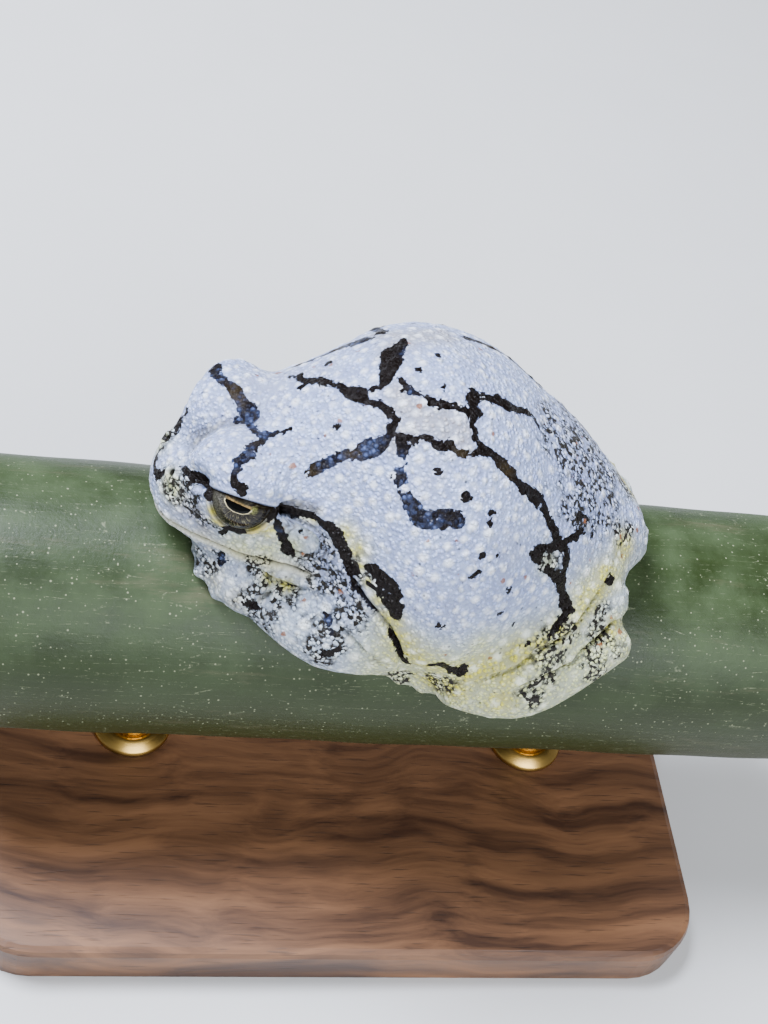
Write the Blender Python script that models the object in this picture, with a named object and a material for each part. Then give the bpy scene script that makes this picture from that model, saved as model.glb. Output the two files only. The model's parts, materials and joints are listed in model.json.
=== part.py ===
"""A gray tree frog, life size and still, crouched along a cut length of green pole on a display stand.

The frog is described in its own coordinates, in millimetres: s runs along the back from the snout
(0) to the vent (BODY_LENGTH), y goes to the frog's right, and z is the height above the pole's top.
The function at() lays them along the pole with the frog's slight sideways bend. Every object is
modelled in millimetres and turned to metres when it is finished. The head points to -X, the frog's
left side to -Y, and +Z is up. The origin is the middle of the stand's underside.
"""

import math
from collections import namedtuple

import bmesh
import bpy
from mathutils import Matrix, Vector
from mathutils.bvhtree import BVHTree

MM = 0.001
GAP = 0.3

# The pole and the stand
POLE_RADIUS = 12.7
POLE_LENGTH = 86.0
POLE_EDGE = 0.6
POLE_HEIGHT = 27.0
BASE_LENGTH = 76.0
BASE_WIDTH = 52.0
BASE_THICKNESS = 5.0
BASE_CORNER = 7.0
BASE_EDGE = 0.8
ROD_RADIUS = 2.5
ROD_SPACING = 44.0

# The frog
BODY_LENGTH = 46.6
BODY_MIDDLE = 24.5
NEAR_HEEL = 45.5
FAR_HEEL = 43.6
SPINE_SHIFT = 1.0
HEAD_BOW = 0.0022
RUMP_BOW = 0.0068
EYE_RADIUS = 2.8
EYE_AT = (6.85, 5.8, 9.4)
EYE_GAZE = (-0.36, 0.90, 0.22)
EYE_UPPER_EDGE = 31.0
EYE_LOWER_EDGE = -58.0
LID_THICKNESS = 0.85
NOSTRIL_AT = (1.5, 30.0)
EAR_RADIUS = 1.6
EAR_DEPTH = 0.9
JAW_CORNER = 13.6
NECK_CUT = 16.9
SIDES = ((-1, "left"), (1, "right"))

Section = namedtuple("Section", "s half_width top bottom widest square")
BODY_SECTIONS = (
    Section(0.0, 1.2, 6.0, 4.1, 5.0, 2.0),
    Section(0.5, 2.8, 7.2, 2.7, 4.3, 2.2),
    Section(1.5, 4.0, 8.3, 1.9, 3.9, 2.3),
    Section(4.0, 5.8, 9.9, 1.2, 3.9, 2.6),
    Section(6.5, 7.1, 11.7, 0.7, 4.0, 2.8),
    Section(9.3, 8.2, 13.6, 0.0, 4.0, 2.7),
    Section(12.5, 9.0, 15.7, -1.4, 3.8, 2.5),
    Section(15.5, 10.8, 17.8, -3.5, 3.6, 2.3),
    Section(19.0, 13.8, 19.5, -6.0, 3.3, 2.1),
    Section(23.0, 16.0, 20.0, -9.0, 3.0, 2.0),
    Section(27.0, 16.3, 19.1, -10.5, 2.8, 2.0),
    Section(30.5, 15.4, 17.3, -10.0, 2.8, 2.0),
    Section(34.0, 13.2, 14.8, -8.0, 3.0, 2.0),
    Section(38.0, 10.8, 12.2, -5.0, 3.2, 2.0),
    Section(41.7, 7.7, 9.0, -2.0, 3.2, 2.0),
    Section(44.8, 4.6, 6.6, 0.2, 3.2, 2.0),
    Section(BODY_LENGTH, 1.6, 4.4, 2.0, 3.2, 2.0),
)


def clear_scene():
    for obj in list(bpy.data.objects):
        bpy.data.objects.remove(obj, do_unlink=True)


# Places on the frog


def at(s, y, z):
    """A point of the frog in the part's frame, in millimetres."""
    bend = HEAD_BOW if s < BODY_MIDDLE else RUMP_BOW
    bow = SPINE_SHIFT - bend * (s - BODY_MIDDLE) ** 2
    heading = math.atan(-2 * bend * (s - BODY_MIDDLE))
    along = Vector((math.cos(heading), math.sin(heading), 0))
    across = Vector((-along.y, along.x, 0))
    spine = Vector((s - BODY_MIDDLE, bow, POLE_HEIGHT + POLE_RADIUS))
    return spine + across * y + Vector((0, 0, z))


def aim(s, direction):
    """A direction given as (backwards, rightwards, up) at the place s along the back."""
    turned = at(s + direction[0] * 0.01, direction[1] * 0.01, direction[2] * 0.01) - at(s, 0, 0)
    return turned.normalized()


def around(s, side, angle, lift):
    """A point over the pole's surface, angle degrees down from its top on one side of the frog."""
    reach = POLE_RADIUS + lift
    turn = math.radians(angle)
    return at(s, side * reach * math.sin(turn), reach * math.cos(turn) - POLE_RADIUS)


# Mesh tools


def new_object(name, bm):
    mesh = bpy.data.meshes.new(name)
    bm.to_mesh(mesh)
    bm.free()
    obj = bpy.data.objects.new(name, mesh)
    bpy.context.scene.collection.objects.link(obj)
    return obj


def discard(*objects):
    for obj in objects:
        bpy.data.objects.remove(obj, do_unlink=True)


def apply_modifiers(obj):
    graph = bpy.context.evaluated_depsgraph_get()
    mesh = bpy.data.meshes.new_from_object(obj.evaluated_get(graph))
    obj.modifiers.clear()
    obj.data = mesh
    return obj


def duplicate(obj, name):
    copy = bpy.data.objects.new(name, obj.data.copy())
    bpy.context.scene.collection.objects.link(copy)
    return copy


def skin_rings(name, rings):
    """A closed tube of quads through rings of points, with its two ends drawn to their middles."""
    bm = bmesh.new()
    loops = [[bm.verts.new(point) for point in ring] for ring in rings]
    count = len(loops[0])
    for first, second in zip(loops, loops[1:]):
        for i in range(count):
            j = (i + 1) % count
            bm.faces.new((first[i], first[j], second[j], second[i]))
    for loop in (loops[0], loops[-1]):
        middle = sum((vert.co for vert in loop), Vector()) / count
        tip = bm.verts.new(middle)
        for i in range(count):
            bm.faces.new((loop[i], loop[(i + 1) % count], tip))
    bmesh.ops.recalc_face_normals(bm, faces=bm.faces)
    return new_object(name, bm)


def curve_through(values, t):
    """A smooth value at t between the numbers or vectors in values, which lie at 0, 1, 2 and so on."""
    last = len(values) - 1
    i = min(int(t), last - 1)
    u = t - i
    before = values[max(i - 1, 0)]
    here = values[i]
    there = values[i + 1]
    after = values[min(i + 2, last)]
    slope_in = (there - before) * 0.5
    slope_out = (after - here) * 0.5
    return (
        here * (2 * u**3 - 3 * u**2 + 1)
        + slope_in * (u**3 - 2 * u**2 + u)
        + there * (3 * u**2 - 2 * u**3)
        + slope_out * (u**3 - u**2)
    )


def limb(name, points, radii, flat=1.0, sides=20, steps=8):
    """A round or flattened limb along points, each with its radius; flat is thickness over width."""
    rings = []
    last = len(points) - 1
    count = last * steps
    centres = [curve_through(points, last * i / count) for i in range(count + 1)]
    widths = [curve_through(radii, last * i / count) for i in range(count + 1)]
    for i, (centre, radius) in enumerate(zip(centres, widths)):
        along = (centres[min(i + 1, count)] - centres[max(i - 1, 0)]).normalized()
        outward = Vector((0, centre.y, centre.z - POLE_HEIGHT)).normalized()
        across = along.cross(outward).normalized()
        lift = across.cross(along).normalized()
        ring = []
        for k in range(sides):
            turn = 2 * math.pi * k / sides
            ring.append(centre + radius * (math.cos(turn) * across + flat * math.sin(turn) * lift))
        rings.append(ring)
    ends = ((0, -1), (-1, 1))
    for end, way in ends:
        inner = rings[end]
        middle = centres[end]
        step = centres[end] - centres[end + 1 if end == 0 else end - 1]
        step.normalize()
        caps = []
        for share in (0.5, 0.8, 0.95):
            shrink = math.sqrt(1 - share**2)
            out = step * widths[end] * share * 0.9
            caps.append([middle + (point - middle) * shrink + out for point in inner])
        rings = caps[::-1] + rings if way < 0 else rings + caps
    return skin_rings(name, rings)


def ball(name, centre, radii, forward=Vector((1, 0, 0)), segments=24, rings=16):
    """An ellipsoid whose first radius lies along forward and whose third lies nearest to up."""
    side = Vector((0, 0, 1)).cross(forward).normalized()
    up = forward.cross(side)
    turn = Matrix((forward, side, up)).transposed().to_4x4()
    bm = bmesh.new()
    bmesh.ops.create_uvsphere(bm, u_segments=segments, v_segments=rings, radius=1)
    bmesh.ops.transform(bm, matrix=Matrix.Diagonal((*radii, 1)), verts=bm.verts)
    bmesh.ops.transform(bm, matrix=Matrix.Translation(centre) @ turn, verts=bm.verts)
    return new_object(name, bm)


def block(name, low, high):
    bm = bmesh.new()
    bmesh.ops.create_cube(bm, size=1)
    size = Vector(high) - Vector(low)
    middle = (Vector(high) + Vector(low)) / 2
    bmesh.ops.transform(bm, matrix=Matrix.Translation(middle) @ Matrix.Diagonal((*size, 1)), verts=bm.verts)
    return new_object(name, bm)


def prism(name, outline, way):
    """The flat outline, a list of points, drawn out along the vector way."""
    bm = bmesh.new()
    face = bm.faces.new([bm.verts.new(point) for point in outline])
    drawn = bmesh.ops.extrude_face_region(bm, geom=[face])
    moved = [item for item in drawn["geom"] if isinstance(item, bmesh.types.BMVert)]
    bmesh.ops.translate(bm, vec=way, verts=moved)
    bmesh.ops.recalc_face_normals(bm, faces=bm.faces)
    return new_object(name, bm)


def boolean(obj, operation, other, solver="EXACT", keep=False):
    modifier = obj.modifiers.new(operation.lower(), "BOOLEAN")
    modifier.operation = operation
    modifier.solver = solver
    modifier.object = other
    apply_modifiers(obj)
    if not keep:
        discard(other)
    return obj


def fuse(name, pieces, voxel, smoothing):
    """One smooth closed skin over the closed pieces, which it takes the place of."""
    bm = bmesh.new()
    for piece in pieces:
        bm.from_mesh(piece.data)
    discard(*pieces)
    obj = new_object(name, bm)
    remesh = obj.modifiers.new("remesh", "REMESH")
    remesh.mode = "VOXEL"
    remesh.voxel_size = voxel
    smooth = obj.modifiers.new("smooth", "SMOOTH")
    smooth.factor = 0.5
    smooth.iterations = smoothing
    return apply_modifiers(obj)


def thin_out(obj, triangles):
    """Fewer triangles, kept where the surface bends most."""
    obj.data.calc_loop_triangles()
    modifier = obj.modifiers.new("decimate", "DECIMATE")
    modifier.use_collapse_triangulate = True
    modifier.ratio = min(1.0, triangles / len(obj.data.loop_triangles))
    return apply_modifiers(obj)


def grown(obj, name, by=GAP):
    """A copy whose surface stands a little outside the object's own."""
    copy = duplicate(obj, name)
    modifier = copy.modifiers.new("grow", "DISPLACE")
    modifier.strength = by
    modifier.mid_level = 0
    return apply_modifiers(copy)


def keep_largest(obj):
    """Drops all but the largest closed surface of a mesh."""
    bm = bmesh.new()
    bm.from_mesh(obj.data)
    left = set(bm.verts)
    islands = []
    while left:
        found = {left.pop()}
        edge_of_search = list(found)
        while edge_of_search:
            vert = edge_of_search.pop()
            for edge in vert.link_edges:
                other = edge.other_vert(vert)
                if other not in found:
                    found.add(other)
                    edge_of_search.append(other)
        left -= found
        islands.append(found)
    islands.sort(key=len)
    for island in islands[:-1]:
        bmesh.ops.delete(bm, geom=list(island), context="VERTS")
    bm.to_mesh(obj.data)
    bm.free()
    return obj


# Head and torso


def section_value(field, s):
    """A named size of the body at s, read smoothly between the sections."""
    places = [section.s for section in BODY_SECTIONS]
    values = [getattr(section, field) for section in BODY_SECTIONS]
    i = max(k for k, place in enumerate(places[:-1]) if place <= s)
    return curve_through(values, i + (s - places[i]) / (places[i + 1] - places[i]))


def body_point(s, turn):
    """A point of the body's surface: turn is in degrees, 0 on the right, 90 on top, 180 on the left."""
    width = section_value("half_width", s)
    top = section_value("top", s)
    bottom = section_value("bottom", s)
    widest = section_value("widest", s)
    power = 2 / section_value("square", s)
    c = math.cos(math.radians(turn))
    h = math.sin(math.radians(turn))
    across = width * math.copysign(abs(c) ** power, c)
    rise = math.copysign(abs(h) ** power, h)
    return at(s, across, widest + rise * (top - widest if h > 0 else widest - bottom))


def make_body():
    """The hull of head and torso with the lids, nostril mounds and folds blended on, and no cuts yet."""
    rings = []
    count = 64
    for i in range(count + 1):
        s = BODY_LENGTH * (0.5 - 0.5 * math.cos(math.pi * i / count))
        rings.append([body_point(s, 360 * k / 56) for k in range(56)])
    pieces = [skin_rings("hull", rings)]
    for side, name in SIDES:
        s, y, z = EYE_AT
        lid = EYE_RADIUS + LID_THICKNESS
        centre = at(s, side * y, z)
        pieces.append(ball(name + "_lid", centre, (lid * 1.06, lid, lid)))
        brow = at(s + 0.8, side * (y - 2.2), z + 0.4)
        pieces.append(ball(name + "_brow", brow, (5.5, 4.3, 3.8)))
        canthus = (at(1.8, side * 1.9, 6.9), at(3.7, side * 2.9, 8.3), at(s - 0.8, side * (y - 2.1), z + 0.1))
        pieces.append(limb(name + "_canthus", canthus, (0.9, 1.8, 3.2), sides=16, steps=4))
        mound = body_point(NOSTRIL_AT[0], 90 - side * NOSTRIL_AT[1])
        pieces.append(ball(name + "_nostril", mound, (0.75, 0.75, 0.6)))
        fold_turns = (36, 31, 21, 11, 2)
        fold_places = (10.0, 12.5, 14.7, 15.7, 16.5)
        fold = [body_point(s, 90 - side * (90 - turn)) for s, turn in zip(fold_places, fold_turns)]
        pieces.append(limb(name + "_fold", fold, (0.5, 0.8, 0.95, 0.9, 0.4), sides=12, steps=4))
    return fuse("body", pieces, 0.4, 11)


def pole_cutter(name):
    """The pole grown by the gap, which everything resting on it is cut clear of."""
    bm = bmesh.new()
    bmesh.ops.create_cone(
        bm,
        cap_ends=True,
        segments=96,
        radius1=POLE_RADIUS + GAP,
        radius2=POLE_RADIUS + GAP,
        depth=POLE_LENGTH,
    )
    turn = Matrix.Rotation(math.pi / 2, 4, "Y")
    bmesh.ops.transform(bm, matrix=Matrix.Translation((0, 0, POLE_HEIGHT)) @ turn, verts=bm.verts)
    return new_object(name, bm)


def eye_frame(side):
    """The eye's centre, its gaze, the line through its corners and the way up its face."""
    s, y, z = EYE_AT
    centre = at(s, side * y, z)
    gaze = aim(s, (EYE_GAZE[0], side * EYE_GAZE[1], EYE_GAZE[2]))
    corners = Vector((0, 0, 1)).cross(gaze).normalized() * side
    face_up = gaze.cross(corners).normalized() * side
    return centre, gaze, corners, face_up


def lid_opening(side):
    """The space between the lids: straight above, round below, with its corners level with the upper lid."""
    centre, gaze, corners, face_up = eye_frame(side)
    reach = 2.2 * EYE_RADIUS
    rings = []
    for i in range(17):
        t = -math.cos(math.pi * i / 16)
        depth = max(0.04, (1 - t * t) ** 0.55)
        inner = centre + corners * t * EYE_RADIUS * 1.08 - gaze * 0.1
        ring = [inner]
        for k in range(6):
            angle = EYE_UPPER_EDGE - (EYE_UPPER_EDGE - EYE_LOWER_EDGE) * depth * k / 5
            turn = math.radians(angle)
            ring.append(inner + reach * (math.cos(turn) * gaze + math.sin(turn) * face_up))
        rings.append(ring)
    return skin_rings("opening", rings)


def ear_frame(body, side):
    """Where the eardrum lies on the head and the way that it faces."""
    tree = BVHTree.FromObject(body, bpy.context.evaluated_depsgraph_get())
    start = at(11.9, side * 3.0, 6.0)
    hit, normal, _, _ = tree.ray_cast(start, aim(11.9, (0.05, side, 0.22)))
    return hit, normal


def disc(name, centre, normal, radius, low, high, bulge=0.0, sides=20):
    """A round plate from low to high along its normal, with its outer face bulging by bulge."""
    turn = normal.to_track_quat("Z", "Y").to_matrix().to_4x4()
    rings = []
    profile = ((radius, low), (radius, high - 0.1), (radius * 0.96, high))
    crown = ((radius * 0.6, high + bulge * 0.7), (radius * 0.2, high + bulge))
    for reach, height in profile + crown:
        rings.append([
            Vector((reach * math.cos(2 * math.pi * k / sides), reach * math.sin(2 * math.pi * k / sides), height))
            for k in range(sides)
        ])
    obj = skin_rings(name, rings)
    obj.data.transform(Matrix.Translation(centre) @ turn)
    return obj


def lip_height(s):
    """The height of the mouth line at s."""
    return curve_through((3.5, 3.6, 3.9, 4.1, 4.0, 3.9), min(max(s / 3.0, 0), 4.99))


def below_lips(name, margin):
    """All of the space under the mouth line and ahead of the corner of the jaw, grown by margin."""
    outline = []
    top = POLE_HEIGHT + POLE_RADIUS
    for i in range(22):
        s = -4 + (JAW_CORNER + margin + 4) * i / 21
        outline.append(Vector((s - BODY_MIDDLE, -30, top + lip_height(s) + margin)))
    for s in (JAW_CORNER + margin, -4):
        outline.append(Vector((s - BODY_MIDDLE, -30, 0)))
    return prism(name, outline, Vector((0, 60, 0)))


def make_head_and_torso(body):
    """Cuts the eyes, ears and nostrils into the body and parts it into head, jaw and torso."""
    nodes = []
    for side, name in SIDES:
        centre, gaze, corners, face_up = eye_frame(side)
        boolean(body, "DIFFERENCE", lid_opening(side))
        socket = ball("socket", centre, (EYE_RADIUS + GAP,) * 3, gaze, 24, 12)
        boolean(body, "DIFFERENCE", socket)
        eye = ball(name + "_eye", centre, (EYE_RADIUS,) * 3, gaze, 20, 12)
        nodes.append(eye)
        hit, normal = ear_frame(body, side)
        recess = disc("recess", hit, normal, EAR_RADIUS + GAP, -EAR_DEPTH - GAP, 2.0)
        boolean(body, "DIFFERENCE", recess)
        nodes.append(disc(name + "_ear", hit, normal, EAR_RADIUS, -EAR_DEPTH, -0.15, 0.2))
        mound = body_point(NOSTRIL_AT[0], 90 - side * NOSTRIL_AT[1])
        way = aim(NOSTRIL_AT[0], (-0.3, side * 0.7, 0.6))
        nostril = disc("nostril", mound, way, 0.32, -0.5, 2.0, sides=12)
        boolean(body, "DIFFERENCE", nostril)
    boolean(body, "DIFFERENCE", pole_cutter("saddle"))
    neck = NECK_CUT - BODY_MIDDLE
    high = POLE_HEIGHT + 60
    torso = duplicate(body, "torso")
    boolean(torso, "INTERSECT", block("behind", (neck + GAP / 2, -40, 0), (60, 40, high)))
    head = duplicate(body, "head")
    boolean(head, "INTERSECT", block("ahead", (-60, -40, 0), (neck - GAP / 2, 40, high)))
    jaw = duplicate(head, "jaw")
    boolean(head, "DIFFERENCE", below_lips("mouth", GAP / 2))
    boolean(jaw, "INTERSECT", below_lips("mouth", -GAP / 2))
    discard(body)
    return nodes + [keep_largest(node) for node in (head, jaw, torso)]


# Limbs


def make_arm(side, name):
    """Upper arm, forearm and hand, folded along the pole beside the jaw."""
    shoulder = at(16.2, side * 8.0, 3.6)
    mid_arm = around(18.2, side, 41, 4.6)
    elbow = around(21.0, side, 50, 3.4)
    upper = [limb(name + "_upper", (shoulder, mid_arm, elbow), (2.7, 3.0, 2.7))]
    mid_fore = around(15.6, side, 47, 3.0)
    wrist = around(10.4, side, 38, 2.3)
    low_elbow = around(20.6, side, 52, 2.8)
    fore = [limb(name + "_fore", (low_elbow, mid_fore, wrist), (2.6, 3.2, 2.2))]
    palm = around(7.9, side, 31, 2.3)
    hand = [limb(name + "_palm", (wrist, palm), (2.1, 2.5), flat=0.85)]
    tips = ((5.6, 11), (4.6, 18), (4.7, 26), (6.1, 34))
    roots = ((7.8, 23), (7.4, 27), (7.5, 32), (8.4, 36))
    for (s, angle), (root_s, root_angle) in zip(tips, roots):
        root = around(root_s, side, root_angle, 1.5)
        knuckle = around((s + root_s) / 2, side, (angle + root_angle) / 2, 1.5)
        tip = around(s, side, angle, 0.95)
        hand.append(limb("finger", (root, knuckle, tip), (0.9, 0.75, 0.6), sides=12, steps=5))
        hand.append(ball("pad", tip, (1.0, 1.0, 0.65), segments=16, rings=10))
    return upper, fore, hand


def make_leg(side, name):
    """Thigh, shank and foot, folded three times beside the belly."""
    hip = at(41.5, side * 4.5, 3.6)
    mid_thigh = around(36.3, side, 45, 4.2)
    knee = around(30.0, side, 59, 3.2)
    low_knee = around(30.2, side, 62, 2.7)
    thigh = [limb(name + "_thigh", (hip, mid_thigh, knee), (3.2, 3.2, 2.5))]
    thigh.append(ball("rear", at(43.1, side * 6.4, 1.7), (2.6, 2.6, 2.6), segments=20, rings=12))
    mid_shank = around(37.4, side, 59, 2.9)
    heel = around(NEAR_HEEL if side < 0 else FAR_HEEL, side, 38, 2.3)
    shank = [limb(name + "_shank", (low_knee, mid_shank, heel), (2.6, 3.0, 2.0))]
    ankle = around(40.0, side, 54, 1.2)
    ball_of_foot = around(31.4, side, 62, 1.3)
    foot = [limb(name + "_sole", (heel, ankle, ball_of_foot), (1.7, 1.5, 1.6), flat=0.8)]
    tips = ((29.4, 70), (26.9, 69), (24.2, 66), (22.0, 62), (22.6, 57))
    for s, angle in tips:
        root = around(31.0, side, 63, 1.1)
        knuckle = around((s + 31.5) / 2, side, (angle * 1.5 + 63) / 2.5, 1.3)
        tip = around(s, side, angle, 0.9)
        foot.append(limb("toe", (root, knuckle, tip), (0.95, 0.75, 0.6), sides=12, steps=5))
        foot.append(ball("pad", tip, (1.0, 1.0, 0.65), segments=16, rings=10))
    return thigh, shank, foot


def finish_limb(name, pieces, voxel, triangles, clear_of):
    """Fuses a limb's pieces, cuts it clear of the grown shapes it lies against, and keeps its main body."""
    whole = thin_out(fuse(name, pieces, voxel, 3), triangles)
    swollen = grown(whole, name + "_grown")
    for other in clear_of:
        boolean(whole, "DIFFERENCE", other, keep=True)
    boolean(whole, "DIFFERENCE", pole_cutter("saddle"))
    return keep_largest(whole), swollen


def make_limbs(body):
    nodes = []
    body_grown = grown(body, "body_grown")
    for side, name in SIDES:
        helpers = []
        upper, fore, hand = make_arm(side, name)
        against = [body_grown]
        for part, pieces, voxel, triangles in (
            ("upper_arm", upper, 0.4, 360),
            ("forearm", fore, 0.4, 400),
            ("hand", hand, 0.25, 900),
        ):
            node, swollen = finish_limb(f"{name}_{part}", pieces, voxel, triangles, against)
            nodes.append(node)
            helpers.append(swollen)
            against = against + [swollen]
        thigh, shank, foot = make_leg(side, name)
        against = [body_grown] + helpers
        for part, pieces, voxel, triangles in (
            ("thigh", thigh, 0.4, 400),
            ("shank", shank, 0.4, 400),
            ("foot", foot, 0.25, 950),
        ):
            node, swollen = finish_limb(f"{name}_{part}", pieces, voxel, triangles, against)
            nodes.append(node)
            helpers.append(swollen)
            against = against + [swollen]
        discard(*helpers)
    discard(body_grown)
    return nodes


# Pole and stand


def make_pole():
    bm = bmesh.new()
    bmesh.ops.create_cone(
        bm,
        cap_ends=True,
        segments=56,
        radius1=POLE_RADIUS,
        radius2=POLE_RADIUS,
        depth=POLE_LENGTH,
    )
    rims = [edge for edge in bm.edges if len(edge.link_faces[0].verts) > 4 or len(edge.link_faces[1].verts) > 4]
    bmesh.ops.bevel(bm, geom=rims, offset=POLE_EDGE, affect="EDGES", segments=2, profile=0.5, material=-1)
    turn = Matrix.Rotation(math.pi / 2, 4, "Y")
    bmesh.ops.transform(bm, matrix=Matrix.Translation((0, 0, POLE_HEIGHT)) @ turn, verts=bm.verts)
    return new_object("pole", bm)


def make_stand():
    """A flat base and two short rods that end in the pole's underside."""
    base = block("stand_base", (-BASE_LENGTH / 2, -BASE_WIDTH / 2, 0), (BASE_LENGTH / 2, BASE_WIDTH / 2, BASE_THICKNESS))
    bm = bmesh.new()
    bm.from_mesh(base.data)
    upright = [edge for edge in bm.edges if abs(edge.verts[0].co.z - edge.verts[1].co.z) > 1]
    bmesh.ops.bevel(bm, geom=upright, offset=BASE_CORNER, affect="EDGES", segments=8, profile=0.5, material=-1)
    upper = [edge for edge in bm.edges if min(vert.co.z for vert in edge.verts) > BASE_THICKNESS - 0.01]
    bmesh.ops.bevel(bm, geom=upper, offset=BASE_EDGE, affect="EDGES", segments=2, profile=0.5, material=-1)
    bm.to_mesh(base.data)
    bm.free()
    nodes = [base]
    for side, name in ((-1, "stand_rod_front"), (1, "stand_rod_back")):
        bm = bmesh.new()
        low = BASE_THICKNESS + GAP
        bmesh.ops.create_cone(
            bm,
            cap_ends=True,
            segments=32,
            radius1=ROD_RADIUS,
            radius2=ROD_RADIUS,
            depth=POLE_HEIGHT - low,
        )
        place = Matrix.Translation((side * ROD_SPACING / 2, 0, (POLE_HEIGHT + low) / 2))
        bmesh.ops.transform(bm, matrix=place, verts=bm.verts)
        nodes.append(boolean(new_object(name, bm), "DIFFERENCE", pole_cutter("saddle")))
    return nodes


# Materials


def paint(obj, name, colour, roughness):
    material = bpy.data.materials.get(name) or bpy.data.materials.new(name)
    material.use_nodes = True
    shader = material.node_tree.nodes["Principled BSDF"]
    shader.inputs["Base Color"].default_value = (*colour, 1)
    shader.inputs["Roughness"].default_value = roughness
    shader.inputs["Metallic"].default_value = 0
    obj.data.materials.clear()
    obj.data.materials.append(material)


def finish(obj):
    """To metres, shaded smooth, and painted for what it is."""
    obj.data.transform(Matrix.Scale(MM, 4))
    obj.data.shade_smooth()
    obj.data.set_sharp_from_angle(angle=math.radians(40))
    if obj.name.startswith("stand_base"):
        paint(obj, "walnut", (0.16, 0.085, 0.045), 0.5)
    elif obj.name.startswith("stand_rod"):
        paint(obj, "brass", (0.62, 0.45, 0.2), 0.35)
    elif obj.name == "pole":
        paint(obj, "green_stem", (0.07, 0.12, 0.06), 0.5)
    elif obj.name.endswith("_eye"):
        paint(obj, "eye", (0.12, 0.11, 0.09), 0.1)
    else:
        paint(obj, "frog_skin", (0.62, 0.63, 0.62), 0.45)


def main():
    clear_scene()
    body = thin_out(make_body(), 3400)
    nodes = make_limbs(body)
    nodes += make_head_and_torso(body)
    nodes.append(make_pole())
    nodes += make_stand()
    for node in nodes:
        finish(node)


main()
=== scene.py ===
"""A still, life-size gray tree frog crouched on a thick green stem, on a plain display stand."""
import json
import math

import bmesh
import bpy
import numpy as np
from mathutils import Matrix, Vector
from mathutils.bvhtree import BVHTree
from mathutils.kdtree import KDTree

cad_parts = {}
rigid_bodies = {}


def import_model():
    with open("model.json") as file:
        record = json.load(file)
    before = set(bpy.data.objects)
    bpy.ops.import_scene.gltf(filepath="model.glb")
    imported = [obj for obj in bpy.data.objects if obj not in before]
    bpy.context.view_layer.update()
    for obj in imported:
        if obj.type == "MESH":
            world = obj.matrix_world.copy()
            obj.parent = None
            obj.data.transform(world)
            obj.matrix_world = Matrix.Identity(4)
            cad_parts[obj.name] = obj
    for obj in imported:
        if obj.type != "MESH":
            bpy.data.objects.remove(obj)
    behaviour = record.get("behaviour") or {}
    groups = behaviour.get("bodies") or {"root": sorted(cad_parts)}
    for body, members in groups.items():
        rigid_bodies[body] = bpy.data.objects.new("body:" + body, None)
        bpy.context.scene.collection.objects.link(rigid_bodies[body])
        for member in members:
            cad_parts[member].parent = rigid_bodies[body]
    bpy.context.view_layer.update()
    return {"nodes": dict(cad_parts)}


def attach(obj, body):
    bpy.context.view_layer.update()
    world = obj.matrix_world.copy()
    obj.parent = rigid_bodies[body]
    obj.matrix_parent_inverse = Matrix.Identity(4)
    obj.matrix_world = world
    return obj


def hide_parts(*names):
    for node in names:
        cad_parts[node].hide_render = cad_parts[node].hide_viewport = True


for start_object in list(bpy.data.objects):
    bpy.data.objects.remove(start_object)
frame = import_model()
nodes = frame["nodes"]


# Camera
# The photograph looks down on the frog's left side from ahead of it, with the picture turned a little about
# the line of sight. Everything that is placed by a pixel below is cast through this same camera.

MM = 0.001
VIEW_AZIMUTH = -20.1
VIEW_ELEVATION = 47.0
VIEW_ROLL = 19.4
VIEW_DISTANCE = 143.9
VIEW_TARGET = Vector((-2.26, 1.83, 40.15))
FOCAL_PIXELS = 1538.0
IMAGE_WIDTH = 768
IMAGE_HEIGHT = 1024
SENSOR = 36.0

azimuth = math.radians(VIEW_AZIMUTH)
elevation = math.radians(VIEW_ELEVATION)
roll = math.radians(VIEW_ROLL)
view_back = Vector((
    math.sin(azimuth) * math.cos(elevation),
    -math.cos(azimuth) * math.cos(elevation),
    math.sin(elevation),
))
level_right = Vector((math.cos(azimuth), math.sin(azimuth), 0))
level_up = view_back.cross(level_right)
view_right = math.cos(roll) * level_right + math.sin(roll) * level_up
view_up = math.cos(roll) * level_up - math.sin(roll) * level_right
view_point = VIEW_TARGET + view_back * VIEW_DISTANCE

camera_data = bpy.data.cameras.new("photo_camera")
camera_data.sensor_width = SENSOR
camera_data.lens = FOCAL_PIXELS * SENSOR / IMAGE_HEIGHT
camera_data.clip_start = 0.001
camera = bpy.data.objects.new("photo_camera", camera_data)
turn = Matrix((view_right, view_up, view_back)).transposed().to_4x4()
camera.matrix_world = Matrix.Translation(view_point * MM) @ turn
bpy.context.scene.collection.objects.link(camera)
bpy.context.scene.camera = camera


def sight_line(x, y):
    """The way from the camera through the pixel x, y of the photograph."""
    right = (x - IMAGE_WIDTH / 2) / FOCAL_PIXELS
    up = (IMAGE_HEIGHT / 2 - y) / FOCAL_PIXELS
    return (view_right * right + view_up * up - view_back).normalized()


# Floor and light
# A pale, matt painted board and two large softboxes: a cool one overhead, as the open sky is in the
# photograph, and a broader, weaker one from the side.

FLOOR_PAINT = "#c9c8c4"
FLOOR_SIZE = 5.0
STUDIO_TINT = "#e6ebf5"
STUDIO_LEVEL = 0.36


def linear(code):
    """An sRGB hex colour as the linear colour that a shader takes."""
    levels = [int(code[i:i + 2], 16) / 255 for i in (1, 3, 5)]
    return tuple(v / 12.92 if v <= 0.04045 else ((v + 0.055) / 1.055) ** 2.4 for v in levels) + (1.0,)


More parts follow.
